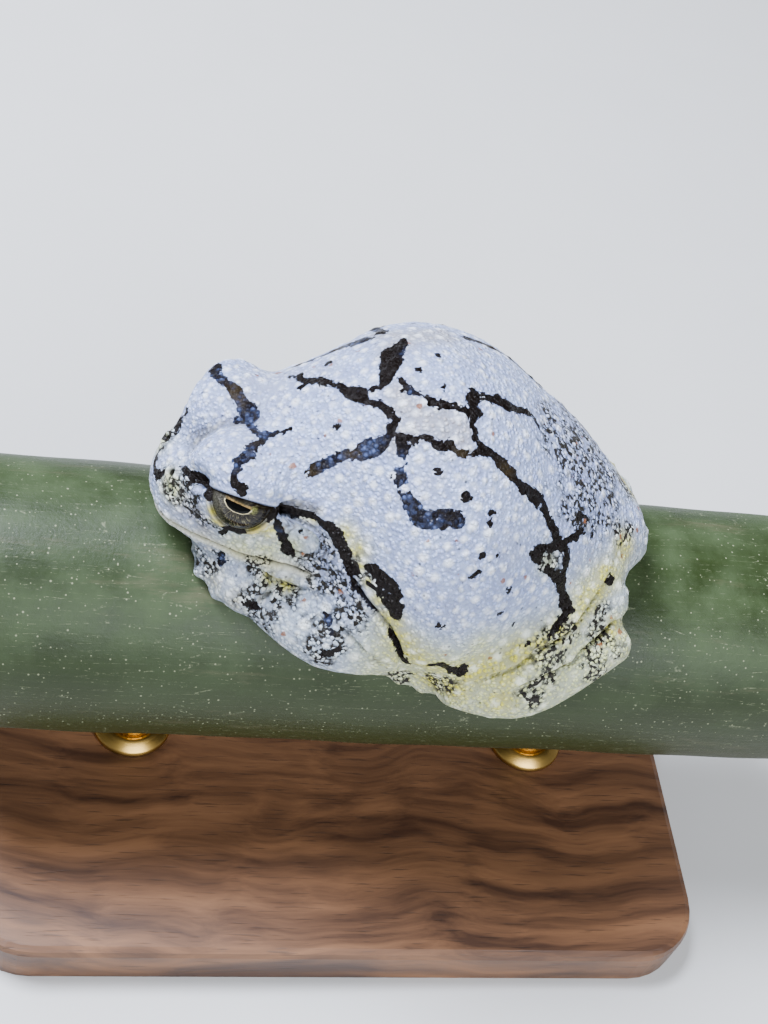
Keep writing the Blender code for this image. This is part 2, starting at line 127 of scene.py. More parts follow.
def add(tree, kind, inputs=(), **settings):
    """Adds one shader node with its settings and its inputs, as values or links, and gives its outputs."""
    made = tree.nodes.new("ShaderNode" + kind)
    for name, value in settings.items():
        setattr(made, name, value)
    for key, value in inputs.items() if isinstance(inputs, dict) else enumerate(inputs):
        if isinstance(value, bpy.types.NodeSocket):
            tree.links.new(value, made.inputs[key])
        else:
            made.inputs[key].default_value = value
    return made.outputs


def new_material(name):
    """An empty material and its Principled shader's tree."""
    material = bpy.data.materials.new(name)
    material.use_nodes = True
    material.node_tree.nodes.clear()
    return material, material.node_tree


def finish_material(tree, inputs):
    """The Principled shader with these inputs, joined to the output."""
    shader = add(tree, "BsdfPrincipled", inputs)
    add(tree, "OutputMaterial", {"Surface": shader[0]})


def place_piece(name, bm, material, unit=1.0):
    """Turns a bmesh into a finished piece's object, with its place in its mesh."""
    bmesh.ops.scale(bm, vec=(unit, unit, unit), verts=bm.verts)
    mesh = bpy.data.meshes.new(name)
    bm.to_mesh(mesh)
    bm.free()
    mesh.polygons.foreach_set("use_smooth", [True] * len(mesh.polygons))
    obj = bpy.data.objects.new(name, mesh)
    bpy.context.scene.collection.objects.link(obj)
    mesh.materials.append(material)
    return obj


# Matt emulsion paint, rolled: no gloss, and a faint unevenness of the roller.
floor_paint, tree = new_material("matt_emulsion_paint")
spot = add(tree, "TexCoord")["Object"]
rolled = add(tree, "TexNoise", {"Vector": spot, "Scale": 60.0, "Detail": 4.0})[0]
tone = add(tree, "MapRange", {0: rolled, 3: 0.97, 4: 1.03})[0]
paint = add(tree, "MixRGB", (1.0, linear(FLOOR_PAINT), tone), blend_type="MULTIPLY")[0]
relief = add(tree, "Bump", {"Height": rolled, "Strength": 0.2, "Distance": 0.0002})[0]
finish_material(tree, {"Base Color": paint, "Roughness": 0.85, "Normal": relief})

bm = bmesh.new()
bmesh.ops.create_grid(bm, x_segments=8, y_segments=8, size=FLOOR_SIZE / 2)
bmesh.ops.translate(bm, vec=(0, 0, -0.00005), verts=bm.verts)
floor = place_piece("floor", bm, floor_paint)


def softbox(name, place, size, watts, tint):
    """A square area light at place, in metres, that faces the frog."""
    lamp = bpy.data.lights.new(name, "AREA")
    lamp.size = size
    lamp.energy = watts
    lamp.color = linear(tint)[:3]
    obj = bpy.data.objects.new(name, lamp)
    way = Vector((0, 0, 0.04)) - Vector(place)
    obj.matrix_world = Matrix.Translation(place) @ way.to_track_quat("-Z", "Y").to_matrix().to_4x4()
    bpy.context.scene.collection.objects.link(obj)


softbox("sky_softbox", (-0.20, 0.12, 0.44), 0.20, 8.7, "#e6edff")
softbox("side_softbox", (0.11, -0.43, 0.33), 0.36, 4.7, "#eff4ff")
world = bpy.data.worlds.new("studio")
bpy.context.scene.world = world
world.use_nodes = True
world.node_tree.nodes["Background"].inputs[0].default_value = linear(STUDIO_TINT)
world.node_tree.nodes["Background"].inputs[1].default_value = STUDIO_LEVEL


# Perch
# A cut length of a thick, round, smooth green stem, the frog's seat. Its rind is waxy and a little
# weathered, and both ends are sawn square, which shows the pale pith.

STEM_RADIUS = 12.8
STEM_LENGTH = 86.0
STEM_HEIGHT = 27.0
STEM_EDGE = 0.5
RIND_WALL = 1.1
RIND_GREEN = "#263512"
RIND_DARK = "#182108"
RIND_OLIVE = "#272a08"
RIND_BLOOM_AND_SKY = "#445334"
RIND_SMUDGE = "#5c563f"
RIND_FLECK = "#7f8466"
PITH_PALE = "#b3a878"
PITH_DARK = "#7c7348"


def millimetres(tree):
    """The place on the object in millimetres, which every pattern below is measured in."""
    spot = add(tree, "TexCoord")["Object"]
    return add(tree, "VectorMath", {0: spot, "Scale": 1000.0}, operation="SCALE")[0]


# Rind of a living stem, grown: a satin wax bloom over green, wiped off in places, with pale scratches along
# it and specks of dust 0.15 mm across. The bloom's pale blue-grey lies only on the upper half, partly as a
# painted sky reflection, and the underside is painted darker and more olive as shade. The sawn end is dry,
# fibrous pith.
rind, tree = new_material("waxy_green_rind")
mm = millimetres(tree)
along = add(tree, "Mapping", {"Vector": mm, "Scale": (0.16, 1.0, 1.0)})[0]
streak = add(tree, "TexNoise", {"Vector": along, "Scale": 0.55, "Detail": 6.0, "Roughness": 0.62})[0]
patch = add(tree, "TexNoise", {"Vector": mm, "Scale": 0.09, "Detail": 5.0, "Roughness": 0.6})[0]
fine = add(tree, "TexNoise", {"Vector": mm, "Scale": 2.2, "Detail": 5.0, "Roughness": 0.7})[0]
place = add(tree, "SeparateXYZ", (mm,))
# Painted shade: below the stem's middle the green is mixed darker and more olive.
under = add(tree, "MapRange", (place[2], 17.0, 36.0, 1.0, 0.0), interpolation_type="SMOOTHSTEP")
green = add(tree, "MixRGB", (streak, linear(RIND_DARK), linear(RIND_GREEN)))[0]
olive = add(tree, "MixRGB", (under[0], green, linear(RIND_OLIVE)))[0]
bloom_edge = add(tree, "MapRange", (patch, 0.42, 0.66, 0.0, 0.75))[0]
# Painted sky reflection, partly real wax bloom: the pale blue-grey bloom is kept to the upper half.
sky_lit_top = add(tree, "MapRange", (place[2], 26.0, 38.0))[0]
bloom_and_sky_reflection = add(tree, "Math", (bloom_edge, sky_lit_top), operation="MULTIPLY")[0]
bloomed_and_sky_lit = add(tree, "MixRGB", (bloom_and_sky_reflection, olive, linear(RIND_BLOOM_AND_SKY)))[0]
smudge_noise = add(tree, "TexNoise", {"Vector": along, "Scale": 0.35, "Detail": 7.0, "Roughness": 0.72})[0]
smudge = add(tree, "MapRange", (smudge_noise, 0.58, 0.74, 0.0, 0.5))[0]
smudged = add(tree, "MixRGB", (smudge, bloomed_and_sky_lit, linear(RIND_SMUDGE)))[0]
dust = add(tree, "TexVoronoi", {"Vector": mm, "Scale": 2.3})
dust_pick = add(tree, "SeparateColor", (dust["Color"],))
dust_size = add(tree, "MapRange", {0: dust_pick[1], 3: 0.06, 4: 0.24})[0]
dust_off = add(tree, "Math", (dust["Distance"], dust_size), operation="SUBTRACT")[0]
dust_spot = add(tree, "MapRange", (dust_off, -0.08, 0.04, 0.85, 0.0))[0]
dust_some = add(tree, "Math", (dust_pick[0], 0.66), operation="GREATER_THAN")[0]
dust_seen = add(tree, "Math", (dust_spot, dust_some), operation="MULTIPLY")[0]
lean = add(tree, "Mapping", {"Vector": mm, "Rotation": (0, 0.12, 0.09), "Scale": (0.10, 1.6, 1.6)})[0]
scratch = add(tree, "TexVoronoi", {"Vector": lean, "Scale": 0.8}, feature="DISTANCE_TO_EDGE")["Distance"]
scratch_line = add(tree, "MapRange", (scratch, 0.006, 0.018, 0.5, 0.0))[0]
scratch_some = add(tree, "MapRange", (fine, 0.5, 0.62))[0]
scratched = add(tree, "Math", (scratch_line, scratch_some), operation="MULTIPLY")[0]
flecks = add(tree, "Math", (dust_seen, scratched), operation="MAXIMUM")[0]
rind_colour = add(tree, "MixRGB", (flecks, smudged, linear(RIND_FLECK)))[0]
end = add(tree, "Attribute", attribute_name="sawn")["Fac"]
fibre = add(tree, "TexVoronoi", {"Vector": mm, "Scale": 1.4})["Distance"]
fibre = add(tree, "MapRange", (fibre, 0.12, 0.34, 0.15, 1.0))[0]
pith = add(tree, "MixRGB", (fibre, linear(PITH_DARK), linear(PITH_PALE)))[0]
middle = add(tree, "Mapping", {"Vector": mm, "Location": (0, 0, -STEM_HEIGHT), "Scale": (0, 1, 1)})[0]
from_middle = add(tree, "VectorMath", (middle,), operation="LENGTH")["Value"]
outer = add(tree, "MapRange", (from_middle, STEM_RADIUS - 1.9, STEM_RADIUS - 1.0))[0]
pith = add(tree, "MixRGB", (outer, pith, linear(RIND_OLIVE)))[0]
stem_colour = add(tree, "MixRGB", (end, rind_colour, pith))[0]
gloss = add(tree, "MapRange", {0: bloom_and_sky_reflection, 3: 0.34, 4: 0.62})[0]
worn = add(tree, "Math", (fine, 0.18, gloss), operation="MULTIPLY_ADD")[0]
dull = add(tree, "Math", (end, 0.35, worn), operation="MULTIPLY_ADD")[0]
height = add(tree, "Math", (streak, 1.5, fine), operation="MULTIPLY_ADD")[0]
relief = add(tree, "Bump", {"Height": height, "Strength": 0.35, "Distance": 0.00012})[0]
finish_material(tree, {
    "Base Color": stem_colour,
    "Roughness": dull,
    "Normal": relief,
    "Specular IOR Level": 0.3,
})


def turned(profile, steps, axis="X"):
    """A closed solid turned about an axis, from a profile of (place along it, radius) that ends on it."""
    bm = bmesh.new()
    row = [bm.verts.new((a, 0, r) if axis == "X" else (r, 0, a)) for a, r in profile]
    edges = [bm.edges.new(pair) for pair in zip(row, row[1:])]
    way = (1, 0, 0) if axis == "X" else (0, 0, 1)
    bmesh.ops.spin(
        bm, geom=row + edges, cent=(0, 0, 0), axis=way, angle=math.tau, steps=steps, use_merge=True)
    bmesh.ops.remove_doubles(bm, verts=bm.verts, dist=0.0005)
    bmesh.ops.recalc_face_normals(bm, faces=bm.faces)
    return bm


half = STEM_LENGTH / 2
edge = [(math.sin(a) * STEM_EDGE, (1 - math.cos(a)) * STEM_EDGE) for a in (0.0, 0.5, 1.05, math.pi / 2)]
end_face = [(half - 0.15, 0.0), (half - 0.12, 3.0), (half - 0.05, 7.0), (half, STEM_RADIUS - RIND_WALL)]
end_face += [(half - STEM_EDGE + a, STEM_RADIUS - b) for a, b in reversed(edge)]
side_rows = [(half - STEM_EDGE - 1.2 * i, STEM_RADIUS) for i in range(1, 71)]
profile = end_face + side_rows
profile += [(-a, r) for a, r in reversed(end_face)]
bm = turned(profile, 128)
for vert in bm.verts:
    x, y, z = vert.co
    lump = 0.05 * math.sin(x * 0.21 + 1.3) + 0.04 * math.sin(x * 0.47 + 2 * math.atan2(y, z))
    vert.co.yz = (y * (1 + lump / STEM_RADIUS), z * (1 + lump / STEM_RADIUS))
bmesh.ops.translate(bm, vec=(0, 0, STEM_HEIGHT), verts=bm.verts)
stem = place_piece("green_stem_perch", bm, rind, MM)
sawn = stem.data.attributes.new("sawn", "FLOAT", "POINT")
sawn.data.foreach_set("value", [float(abs(v.co.x) > (half - 0.2) * MM) for v in stem.data.vertices])
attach(stem, "root")
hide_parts("pole")


# Stand
# A small oiled walnut base with rounded corners, and two turned brass rods that are pushed into it and into
# the stem from below. A brass collar covers each hole in the base.

WALNUT_PALE = "#7a5436"
WALNUT_DARK = "#3d2618"
GRAIN_SPACING = 2.4
BRASS = "#c9a659"
BRASS_WORN = "#a98545"
ROD_RADIUS = 2.5
ROD_SPACING = 44.0
BASE_TOP = 5.0
COLLAR_RADIUS = 4.2
COLLAR_HEIGHT = 1.3

# Walnut, planed, sanded and oiled: straight grain in dark and pale bands 2.4 mm apart, with short dark
# pores.
walnut, tree = new_material("oiled_walnut")
mm = millimetres(tree)
sway = add(tree, "TexNoise", {"Vector": mm, "Scale": 0.05, "Detail": 2.0})["Color"]
bent = add(tree, "VectorMath", (sway, (9.0, 9.0, 9.0), mm), operation="MULTIPLY_ADD")[0]
long = add(tree, "Mapping", {"Vector": bent, "Scale": (0.05, 1.0, 1.0)})[0]
bands = add(tree, "TexNoise", {
    "Vector": long, "Scale": 1 / GRAIN_SPACING, "Detail": 5.0, "Roughness": 0.6})[0]
bands = add(tree, "MapRange", (bands, 0.35, 0.68))[0]
wood = add(tree, "MixRGB", (bands, linear(WALNUT_DARK), linear(WALNUT_PALE)))[0]
thin = add(tree, "Mapping", {"Vector": mm, "Scale": (0.25, 4.0, 4.0)})[0]
pores = add(tree, "TexNoise", {"Vector": thin, "Scale": 1.0, "Detail": 2.0})[0]
pores = add(tree, "MapRange", (pores, 0.60, 0.70, 1.0, 0.55))[0]
wood = add(tree, "MixRGB", (1.0, wood, pores), blend_type="MULTIPLY")[0]
sheen = add(tree, "MapRange", {0: bands, 3: 0.42, 4: 0.52})[0]
relief = add(tree, "Bump", {"Height": pores, "Strength": 0.3, "Distance": 0.00008})[0]
finish_material(tree, {"Base Color": wood, "Roughness": sheen, "Normal": relief})

# Brass, turned and brushed round: soft bright lines 0.2 mm apart about the rod, and a slightly browner
# bloom.
brass, tree = new_material("brushed_brass")
mm = millimetres(tree)
rings = add(tree, "Mapping", {"Vector": mm, "Scale": (0.2, 0.2, 5.0)})[0]
brushed = add(tree, "TexNoise", {"Vector": rings, "Scale": 1.0, "Detail": 3.0})[0]
stain = add(tree, "TexNoise", {"Vector": mm, "Scale": 0.4, "Detail": 4.0})[0]
metal = add(tree, "MixRGB", (stain, linear(BRASS), linear(BRASS_WORN)))[0]
rough = add(tree, "MapRange", {0: brushed, 3: 0.22, 4: 0.42})[0]
relief = add(tree, "Bump", {"Height": brushed, "Strength": 0.2, "Distance": 0.00003})[0]
finish_material(tree, {"Base Color": metal, "Metallic": 1.0, "Roughness": rough, "Normal": relief})

for name, finish in (("stand_base", walnut), ("stand_rod_front", brass), ("stand_rod_back", brass)):
    nodes[name].data.materials.clear()
    nodes[name].data.materials.append(finish)

for name, x in (("front", -ROD_SPACING / 2), ("back", ROD_SPACING / 2)):
    rim = COLLAR_RADIUS
    profile = [(0.02, ROD_RADIUS + 0.02), (0.02, rim - 0.1), (0.12, rim), (0.5, rim), (0.75, rim - 0.15)]
    profile += [(COLLAR_HEIGHT - 0.2, ROD_RADIUS + 0.7), (COLLAR_HEIGHT, ROD_RADIUS + 0.45)]
    profile += [(COLLAR_HEIGHT, ROD_RADIUS + 0.02), (0.02, ROD_RADIUS + 0.02)]
    bm = turned(profile, 64, axis="Z")
    bmesh.ops.translate(bm, vec=(x, 0, BASE_TOP), verts=bm.verts)
    collar = place_piece("brass_collar_" + name, bm, brass, MM)
    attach(collar, "root")


# Skin shape
# The whole frog but its eyes is one soft, moist hide over folded limbs. It is drawn over the solids as one
# closed surface. Lids, lips, nostrils, eardrums, folds and the domed granules are then raised or sunk in
# it.

BODY_MIDDLE = 24.5
SPINE_SHIFT = 1.0
HEAD_BOW = 0.0022
RUMP_BOW = 0.0068
POLE_TOP = 39.7
EYE_RADIUS = 2.8
EYE_AT = (6.85, 5.8, 9.4)
EYE_GAZE = (-0.36, 0.90, 0.22)
EYE_UPPER_EDGE = 31.0
EYE_LOWER_EDGE = -58.0
SWELL = 0.45
SKIN_GRAIN = 0.335
SIDES = ((-1, "left"), (1, "right"))
FLESH = ["head", "jaw", "torso"] + [
    side + "_" + part
    for _, side in SIDES
    for part in ("ear", "upper_arm", "forearm", "hand", "thigh", "shank", "foot")
]


def at(s, y, z):
    """A point of the frog: s back from the snout, y to its right and z up from the pole, in millimetres."""
    bend = HEAD_BOW if s < BODY_MIDDLE else RUMP_BOW
    heading = math.atan(-2 * bend * (s - BODY_MIDDLE))
    bow = SPINE_SHIFT - bend * (s - BODY_MIDDLE) ** 2
    return Vector((
        s - BODY_MIDDLE - math.sin(heading) * y,
        bow + math.cos(heading) * y,
        POLE_TOP + z,
    ))


def aim(s, way):
    """A direction given as backwards, rightwards and up at the place s along the back."""
    return (at(s + way[0] * 0.01, way[1] * 0.01, way[2] * 0.01) - at(s, 0, 0)).normalized()


def frog_places(points):
    """The s, y and z of many points: the reverse of at."""
    s = points[:, 0] + BODY_MIDDLE
    for _ in range(6):
        bend = np.where(s < BODY_MIDDLE, HEAD_BOW, RUMP_BOW)
        heading = np.arctan(-2 * bend * (s - BODY_MIDDLE))
        y = (points[:, 1] - SPINE_SHIFT + bend * (s - BODY_MIDDLE) ** 2) / np.cos(heading)
        s = points[:, 0] + BODY_MIDDLE + np.sin(heading) * y
    return np.stack((s, y, points[:, 2] - POLE_TOP), 1)


def smooth_step(low, high, values):
    """0 below low, 1 above high, and a soft step between."""
    t = np.clip((values - low) / (high - low), 0, 1)
    return t * t * (3 - 2 * t)


def bell(values, width):
    """1 at 0, falling off softly over width on both sides."""
    return np.exp(-(values / width) ** 2)


def eye_frame(side):
    """The eye's centre, its gaze, the line through its corners and the way up its face."""
    s, y, z = EYE_AT
    gaze = aim(s, (EYE_GAZE[0], side * EYE_GAZE[1], EYE_GAZE[2]))
    corners = Vector((0, 0, 1)).cross(gaze).normalized() * side
    return at(s, side * y, z), gaze, corners, gaze.cross(corners).normalized() * side


hide = bmesh.new()
scratch_mesh = bpy.data.meshes.new("flesh")
for name in FLESH:
    solid = bmesh.new()
    solid.from_mesh(nodes[name].data)
    bmesh.ops.scale(solid, vec=(1000, 1000, 1000), verts=solid.verts)
    bmesh.ops.remove_doubles(solid, verts=solid.verts, dist=0.01)
    bmesh.ops.recalc_face_normals(solid, faces=solid.faces)
    solid.normal_update()
    for vert in solid.verts:
        vert.co += vert.normal * SWELL
    solid.to_mesh(scratch_mesh)
    solid.free()
    hide.from_mesh(scratch_mesh)
for side, _ in SIDES:
    s, y, z = EYE_AT
    lid = EYE_RADIUS + 0.7 + SWELL
    socket = bmesh.ops.create_icosphere(hide, subdivisions=4, radius=lid)
    bmesh.ops.translate(hide, vec=at(s, side * y, z), verts=socket["verts"])
    brow = bmesh.ops.create_icosphere(hide, subdivisions=4, radius=1.0)
    bmesh.ops.scale(hide, vec=(5.25 + SWELL, 4.05 + SWELL, 3.55 + SWELL), verts=brow["verts"])
    bmesh.ops.translate(hide, vec=at(s + 0.8, side * (y - 2.2), z + 0.4), verts=brow["verts"])
hide.to_mesh(scratch_mesh)
hide.free()

cast = bpy.data.objects.new("cast", scratch_mesh)
bpy.context.scene.collection.objects.link(cast)
remesh = cast.modifiers.new("remesh", "REMESH")
remesh.mode = "VOXEL"
remesh.voxel_size = SKIN_GRAIN
closed = bpy.data.meshes.new_from_object(cast.evaluated_get(bpy.context.evaluated_depsgraph_get()))
bpy.data.objects.remove(cast)
bpy.data.meshes.remove(scratch_mesh)

bm = bmesh.new()
bm.from_mesh(closed)
bpy.data.meshes.remove(closed)
left_over = set(bm.verts)
largest = []
while left_over:
    island = []
    edge_of = [left_over.pop()]
    while edge_of:
        vert = edge_of.pop()
        island.append(vert)
        for link in vert.link_edges:
            other = link.other_vert(vert)
            if other in left_over:
                left_over.discard(other)
                edge_of.append(other)
    if len(island) > len(largest):
        largest = island
kept = set(largest)
bmesh.ops.delete(bm, geom=[v for v in bm.verts if v not in kept], context="VERTS")


def neighbour_means(points, pairs):
    """The middle of each point's neighbours."""
    count = len(points)
    ends = np.concatenate((pairs[:, 0], pairs[:, 1]))
    others = np.concatenate((pairs[:, 1], pairs[:, 0]))
    number = np.bincount(ends, minlength=count)[:, None]
    sums = [np.bincount(ends, points[others, k], count) for k in range(points.shape[1])]
    return np.stack(sums, 1) / number


def smoothed(points, pairs, rounds, share=0.5):
    """Points moved towards their neighbours' middles and back a little less, so that nothing shrinks."""
    for _ in range(rounds):
        points = points + (neighbour_means(points, pairs) - points) * share
        points = points - (neighbour_means(points, pairs) - points) * share * 0.96
    return points


def read_places(bm):
    """The mesh's points, edges and outward normals as arrays."""
    bm.normal_update()
    bm.verts.index_update()
    points = np.array([v.co for v in bm.verts])
    normals = np.array([v.normal for v in bm.verts])
    pairs = np.array([[v.index for v in e.verts] for e in bm.edges])
    return points, pairs, normals


def write_places(bm, points):
    """Moves the mesh's points to these places."""
    for vert, point in zip(bm.verts, points):
        vert.co = point


points, pairs, normals = read_places(bm)
points = smoothed(points, pairs, 4)
write_places(bm, points)
points, pairs, normals = read_places(bm)
for _ in range(3):
    normals = neighbour_means(normals, pairs)
normals /= np.linalg.norm(normals, axis=1)[:, None]
points = smoothed(points - normals * SWELL, pairs, 4)
write_places(bm, points)


def softened(points, pairs, share, rounds):
    """Points moved towards their neighbours' middles where share, 0 to 1, asks for it."""
    for _ in range(rounds):
        points = points + (neighbour_means(points, pairs) - points) * share[:, None]
    return points


SEAMS = (13.6, 16.9)
SEAM_REACH = 1.3
LAP_FILL = 0.65
FOLD_DEPTH = 0.50
FOLD_LAP = 0.60
FOLD_WIDTH = 0.26
FOLD_TAPER = -8
# Each fold: which side of it overlaps the other, as (backwards, up), and its places in the photograph.
FOLDS = (
    ((1, 1), ((336, 621), (344, 629), (352, 637), (361, 646), (374, 656))),
    ((-1, 0), ((279, 585), (270, 592), (262, 597), (252, 606))),
    ((0, 1), ((256, 566), (268, 574), (282, 583), (296, 588), (312, 590))),
    ((-1, -1), ((350, 572), (357, 589), (366, 602), (376, 613), (388, 627), (396, 642), (400, 655),
        (398, 667))),
    ((-1, 1), ((466, 682), (493, 675), (519, 665), (535, 651), (552, 643), (567, 634), (582, 615),
        (596, 594),
               (610, 569))),
    ((-1, 1), ((501, 692), (524, 682), (548, 672), (571, 662), (580, 651), (600, 634), (610, 623),
        (623, 612))),
)

points, pairs, normals = read_places(bm)
places = frog_places(points)
seam = np.clip(sum(bell(places[:, 0] - s, SEAM_REACH) for s in SEAMS), 0, 1)
points = softened(points, pairs, 0.6 * seam, 14)
lap = 1 - smooth_step(5.0, 9.0, places[:, 2])
for _ in range(3):
    broad = points
    for _ in range(36):
        broad = neighbour_means(broad, pairs)
    filling = np.clip(((broad - points) * normals).sum(1), 0, 1)
    points = points + normals * (filling * lap * LAP_FILL)[:, None]
points = smoothed(points, pairs, 3)
write_places(bm, points)
skin_tree = BVHTree.FromBMesh(bm)


def on_skin(x, y):
    """The place on the skin that the photograph shows at a pixel, or None beside the frog."""
    return skin_tree.ray_cast(view_point, sight_line(x, y))[0]


def other_side(point):
    """The same place on the frog's other side, on its skin."""
    s, y, z = frog_places(np.array([point]))[0]
    return skin_tree.find_nearest(at(s, -y, z))[0]


def cast_strokes(strokes, mirrored):
    """Short straight pieces of stroke on the skin: both ends and the widths there, in millimetres."""
    found = []
    for stroke in strokes:
        stops = [(on_skin(x, y), width / 10) for x, y, width in stroke]
        stops = [stop for stop in stops if stop[0] is not None]
        ways = [stops]
        if mirrored:
            ways.append([(other_side(place), width) for place, width in stops])
        for way in ways:
            found += [(*a, *b) for a, b in zip(way, way[1:] or way)]
    return found


def stroke_place(points, strokes):
    """How far inside the nearest stroke each point lies, and its way there from the stroke's line, in mm."""
    depth = np.full(len(points), -3.0)
    ways = np.zeros((len(points), 3))
    for start, start_width, end, end_width in strokes:
        start, end = np.array(start), np.array(end)
        run = end - start
        share = np.clip((points - start) @ run / max(run @ run, 1e-9), 0, 1)
        away = points - start - share[:, None] * run
        inside = (start_width + (end_width - start_width) * share) / 2 - np.linalg.norm(away, axis=1)
        ways = np.where((inside > depth)[:, None], away, ways)
        depth = np.maximum(depth, inside)
    return depth, ways


def stroke_depth(points, strokes):
    """How far inside the nearest stroke each point lies, in millimetres; less than 0 is outside."""
    return stroke_place(points, strokes)[0]


folds = []
for over_side, places in FOLDS:
    line = [(x, y, FOLD_TAPER if (x, y) in (places[0], places[-1]) else 0) for x, y in places]
    folds.append((over_side, cast_strokes((line,), True)))
fold_lines = [piece for _, pieces in folds for piece in pieces]


def shapes_by_place(points):
    """How far points are inside each eye's opening, off the mouth, and from each eardrum and nostril."""
    places = frog_places(points)
    lids = [lid_opening(points, side) for side, _ in SIDES]
    above_mouth = places[:, 2] - lip_height(places[:, 0])
    off_mouth = np.where(on_head(places) > 0, np.abs(above_mouth), 9.0)
    ears = [ear_place(points, side)[0] for side, _ in SIDES]
    noses = [np.linalg.norm(points - np.array(nostrils[side]), axis=1) for side, _ in SIDES]
    return lids, off_mouth, ears, noses


def on_head(places):
    """1 on the head's sides, in front of the ends of the mouth; 0 on the arms beside it and behind it."""
    half = np.interp(places[:, 0], (0, 1.5, 4, 6.5, 9.3, 12.5, 15.5), (1.2, 4.0, 5.8, 7.1, 8.2, 9.0, 10.8))
    beside = np.abs(places[:, 1]) - half
    return (1 - smooth_step(13.2, 14.2, places[:, 0])) * (1 - smooth_step(0.7, 1.1, beside))


def lip_height(s):
    """The height of the mouth line at s: nearly level, a little higher at the middle of the cheek."""
    return np.interp(s, (0, 3, 6, 9, 12, 15), (3.5, 3.6, 3.9, 4.1, 4.0, 3.9))


def lid_opening(points, side):
    """How far points lie inside the space between the lids, and how far and which way from the eye."""
    centre, gaze, corners, face_up = eye_frame(side)
    offset = points - np.array(centre)
    ahead, along, up = offset @ np.array(gaze), offset @ np.array(corners), offset @ np.array(face_up)
    far = np.linalg.norm(offset, axis=1)
    sideways = np.degrees(np.arcsin(np.clip(along / np.maximum(far, 0.1), -1, 1)))
    share = sideways / EYE_CORNER
    height = np.degrees(np.arctan2(up, ahead))
    depth = np.sqrt(np.maximum(1 - share ** 2, 0))
    lower = EYE_UPPER_EDGE - (EYE_UPPER_EDGE - EYE_LOWER_EDGE) * depth
    one_degree = EYE_RADIUS * math.pi / 180
    level = one_degree * np.cos(np.radians(sideways))
    inside = np.minimum((EYE_UPPER_EDGE - height) * level, (height - lower) * level)
    inside = np.minimum(inside, (1 - np.abs(share)) * EYE_CORNER * one_degree)
    return np.where((far < EYE_RADIUS + 3.4) & (ahead > -1.5), inside, -9.0), far, offset


def ear_place(points, side):
    """Each point's distance from the eardrum's axis, and its height along that axis."""
    centre, way = eardrums[side]
    offset = points - np.array(centre)
    rise = offset @ np.array(way)
    radius = np.sqrt(np.maximum((offset ** 2).sum(1) - rise ** 2, 0))
    return np.where(np.abs(rise) < 2.5, radius, 9.0), rise


NOSTRIL = (172, 472)
EYE_CORNER = 74.0
EAR_MIDDLE = 11.9
EAR_WAY = (0.05, 0.22)
EAR_RADIUS = 1.6

skin_tree = BVHTree.FromBMesh(bm)
left_nostril = skin_tree.ray_cast(view_point, sight_line(*NOSTRIL))[0]
nostrils = {-1: left_nostril, 1: other_side(left_nostril)}
eardrums = {}
for side, _ in SIDES:
    way = aim(EAR_MIDDLE, (EAR_WAY[0], side, EAR_WAY[1]))
    place, normal, _, _ = skin_tree.ray_cast(at(EAR_MIDDLE, side * 3.0, 6.0), way)
    eardrums[side] = (place, normal)

for reach, ear_reach, nose_reach in ((0.9, 2.4, 1.4), (0.34, 0.0, 0.9), (0.0, 0.0, 0.6)):
    middles = np.array([f.calc_center_median() for f in bm.faces])
    lids, off_mouth, ears, noses = shapes_by_place(middles)
    wanted = off_mouth < reach * 0.9
    wanted |= stroke_depth(middles, fold_lines) > (-0.5 if ear_reach else 1.0)
    for inside, far, _ in lids:
        wanted |= np.abs(inside) < reach * 1.3
    for ear in ears:
        wanted |= ear < ear_reach
    for nose in noses:
        wanted |= nose < nose_reach
    cut = {e for f, keep in zip(bm.faces, wanted) if keep for e in f.edges}
    bmesh.ops.subdivide_edges(bm, edges=list(cut), cuts=1, use_grid_fill=True)
    points, pairs, normals = read_places(bm)
    write_places(bm, smoothed(points, pairs, 2))

points, pairs, normals = read_places(bm)
for _ in range(4):
    normals = neighbour_means(normals, pairs)
normals /= np.linalg.norm(normals, axis=1)[:, None]
lids, off_mouth, ears, noses = shapes_by_place(points)
places = frog_places(points)
plain = np.ones(len(points))
rim, drums, ear_ring_shade, near_nose = np.zeros((4, len(points)))

raised = np.zeros(len(points))
for (back, up), lines in folds:
    inside, ways = stroke_place(points, lines)
    over = smooth_step(0.0, 0.3, ways[:, 0] * back + ways[:, 2] * up)
    fading = np.where(inside > -2.9, np.exp(np.minimum(inside, 0) / 1.1), 0)
    raised += FOLD_LAP * fading * over - FOLD_DEPTH * bell(inside, FOLD_WIDTH)
points = points + normals * raised[:, None]

above = places[:, 2] - lip_height(places[:, 0])
mouth = on_head(places)
lip = mouth * (0.10 * bell(above - 0.45, 0.30) + 0.10 * bell(above + 0.42, 0.26) - 0.34 * bell(above, 0.15))
points = points + normals * lip[:, None]
# Painted shade: a black line in the mouth's seam, to which the nostril holes and lid gaps are added below.
seam_shade = mouth * bell(above, 0.13)
lips = mouth * bell(above, 0.62)
plain *= 1 - 0.85 * mouth * bell(above, 0.40)

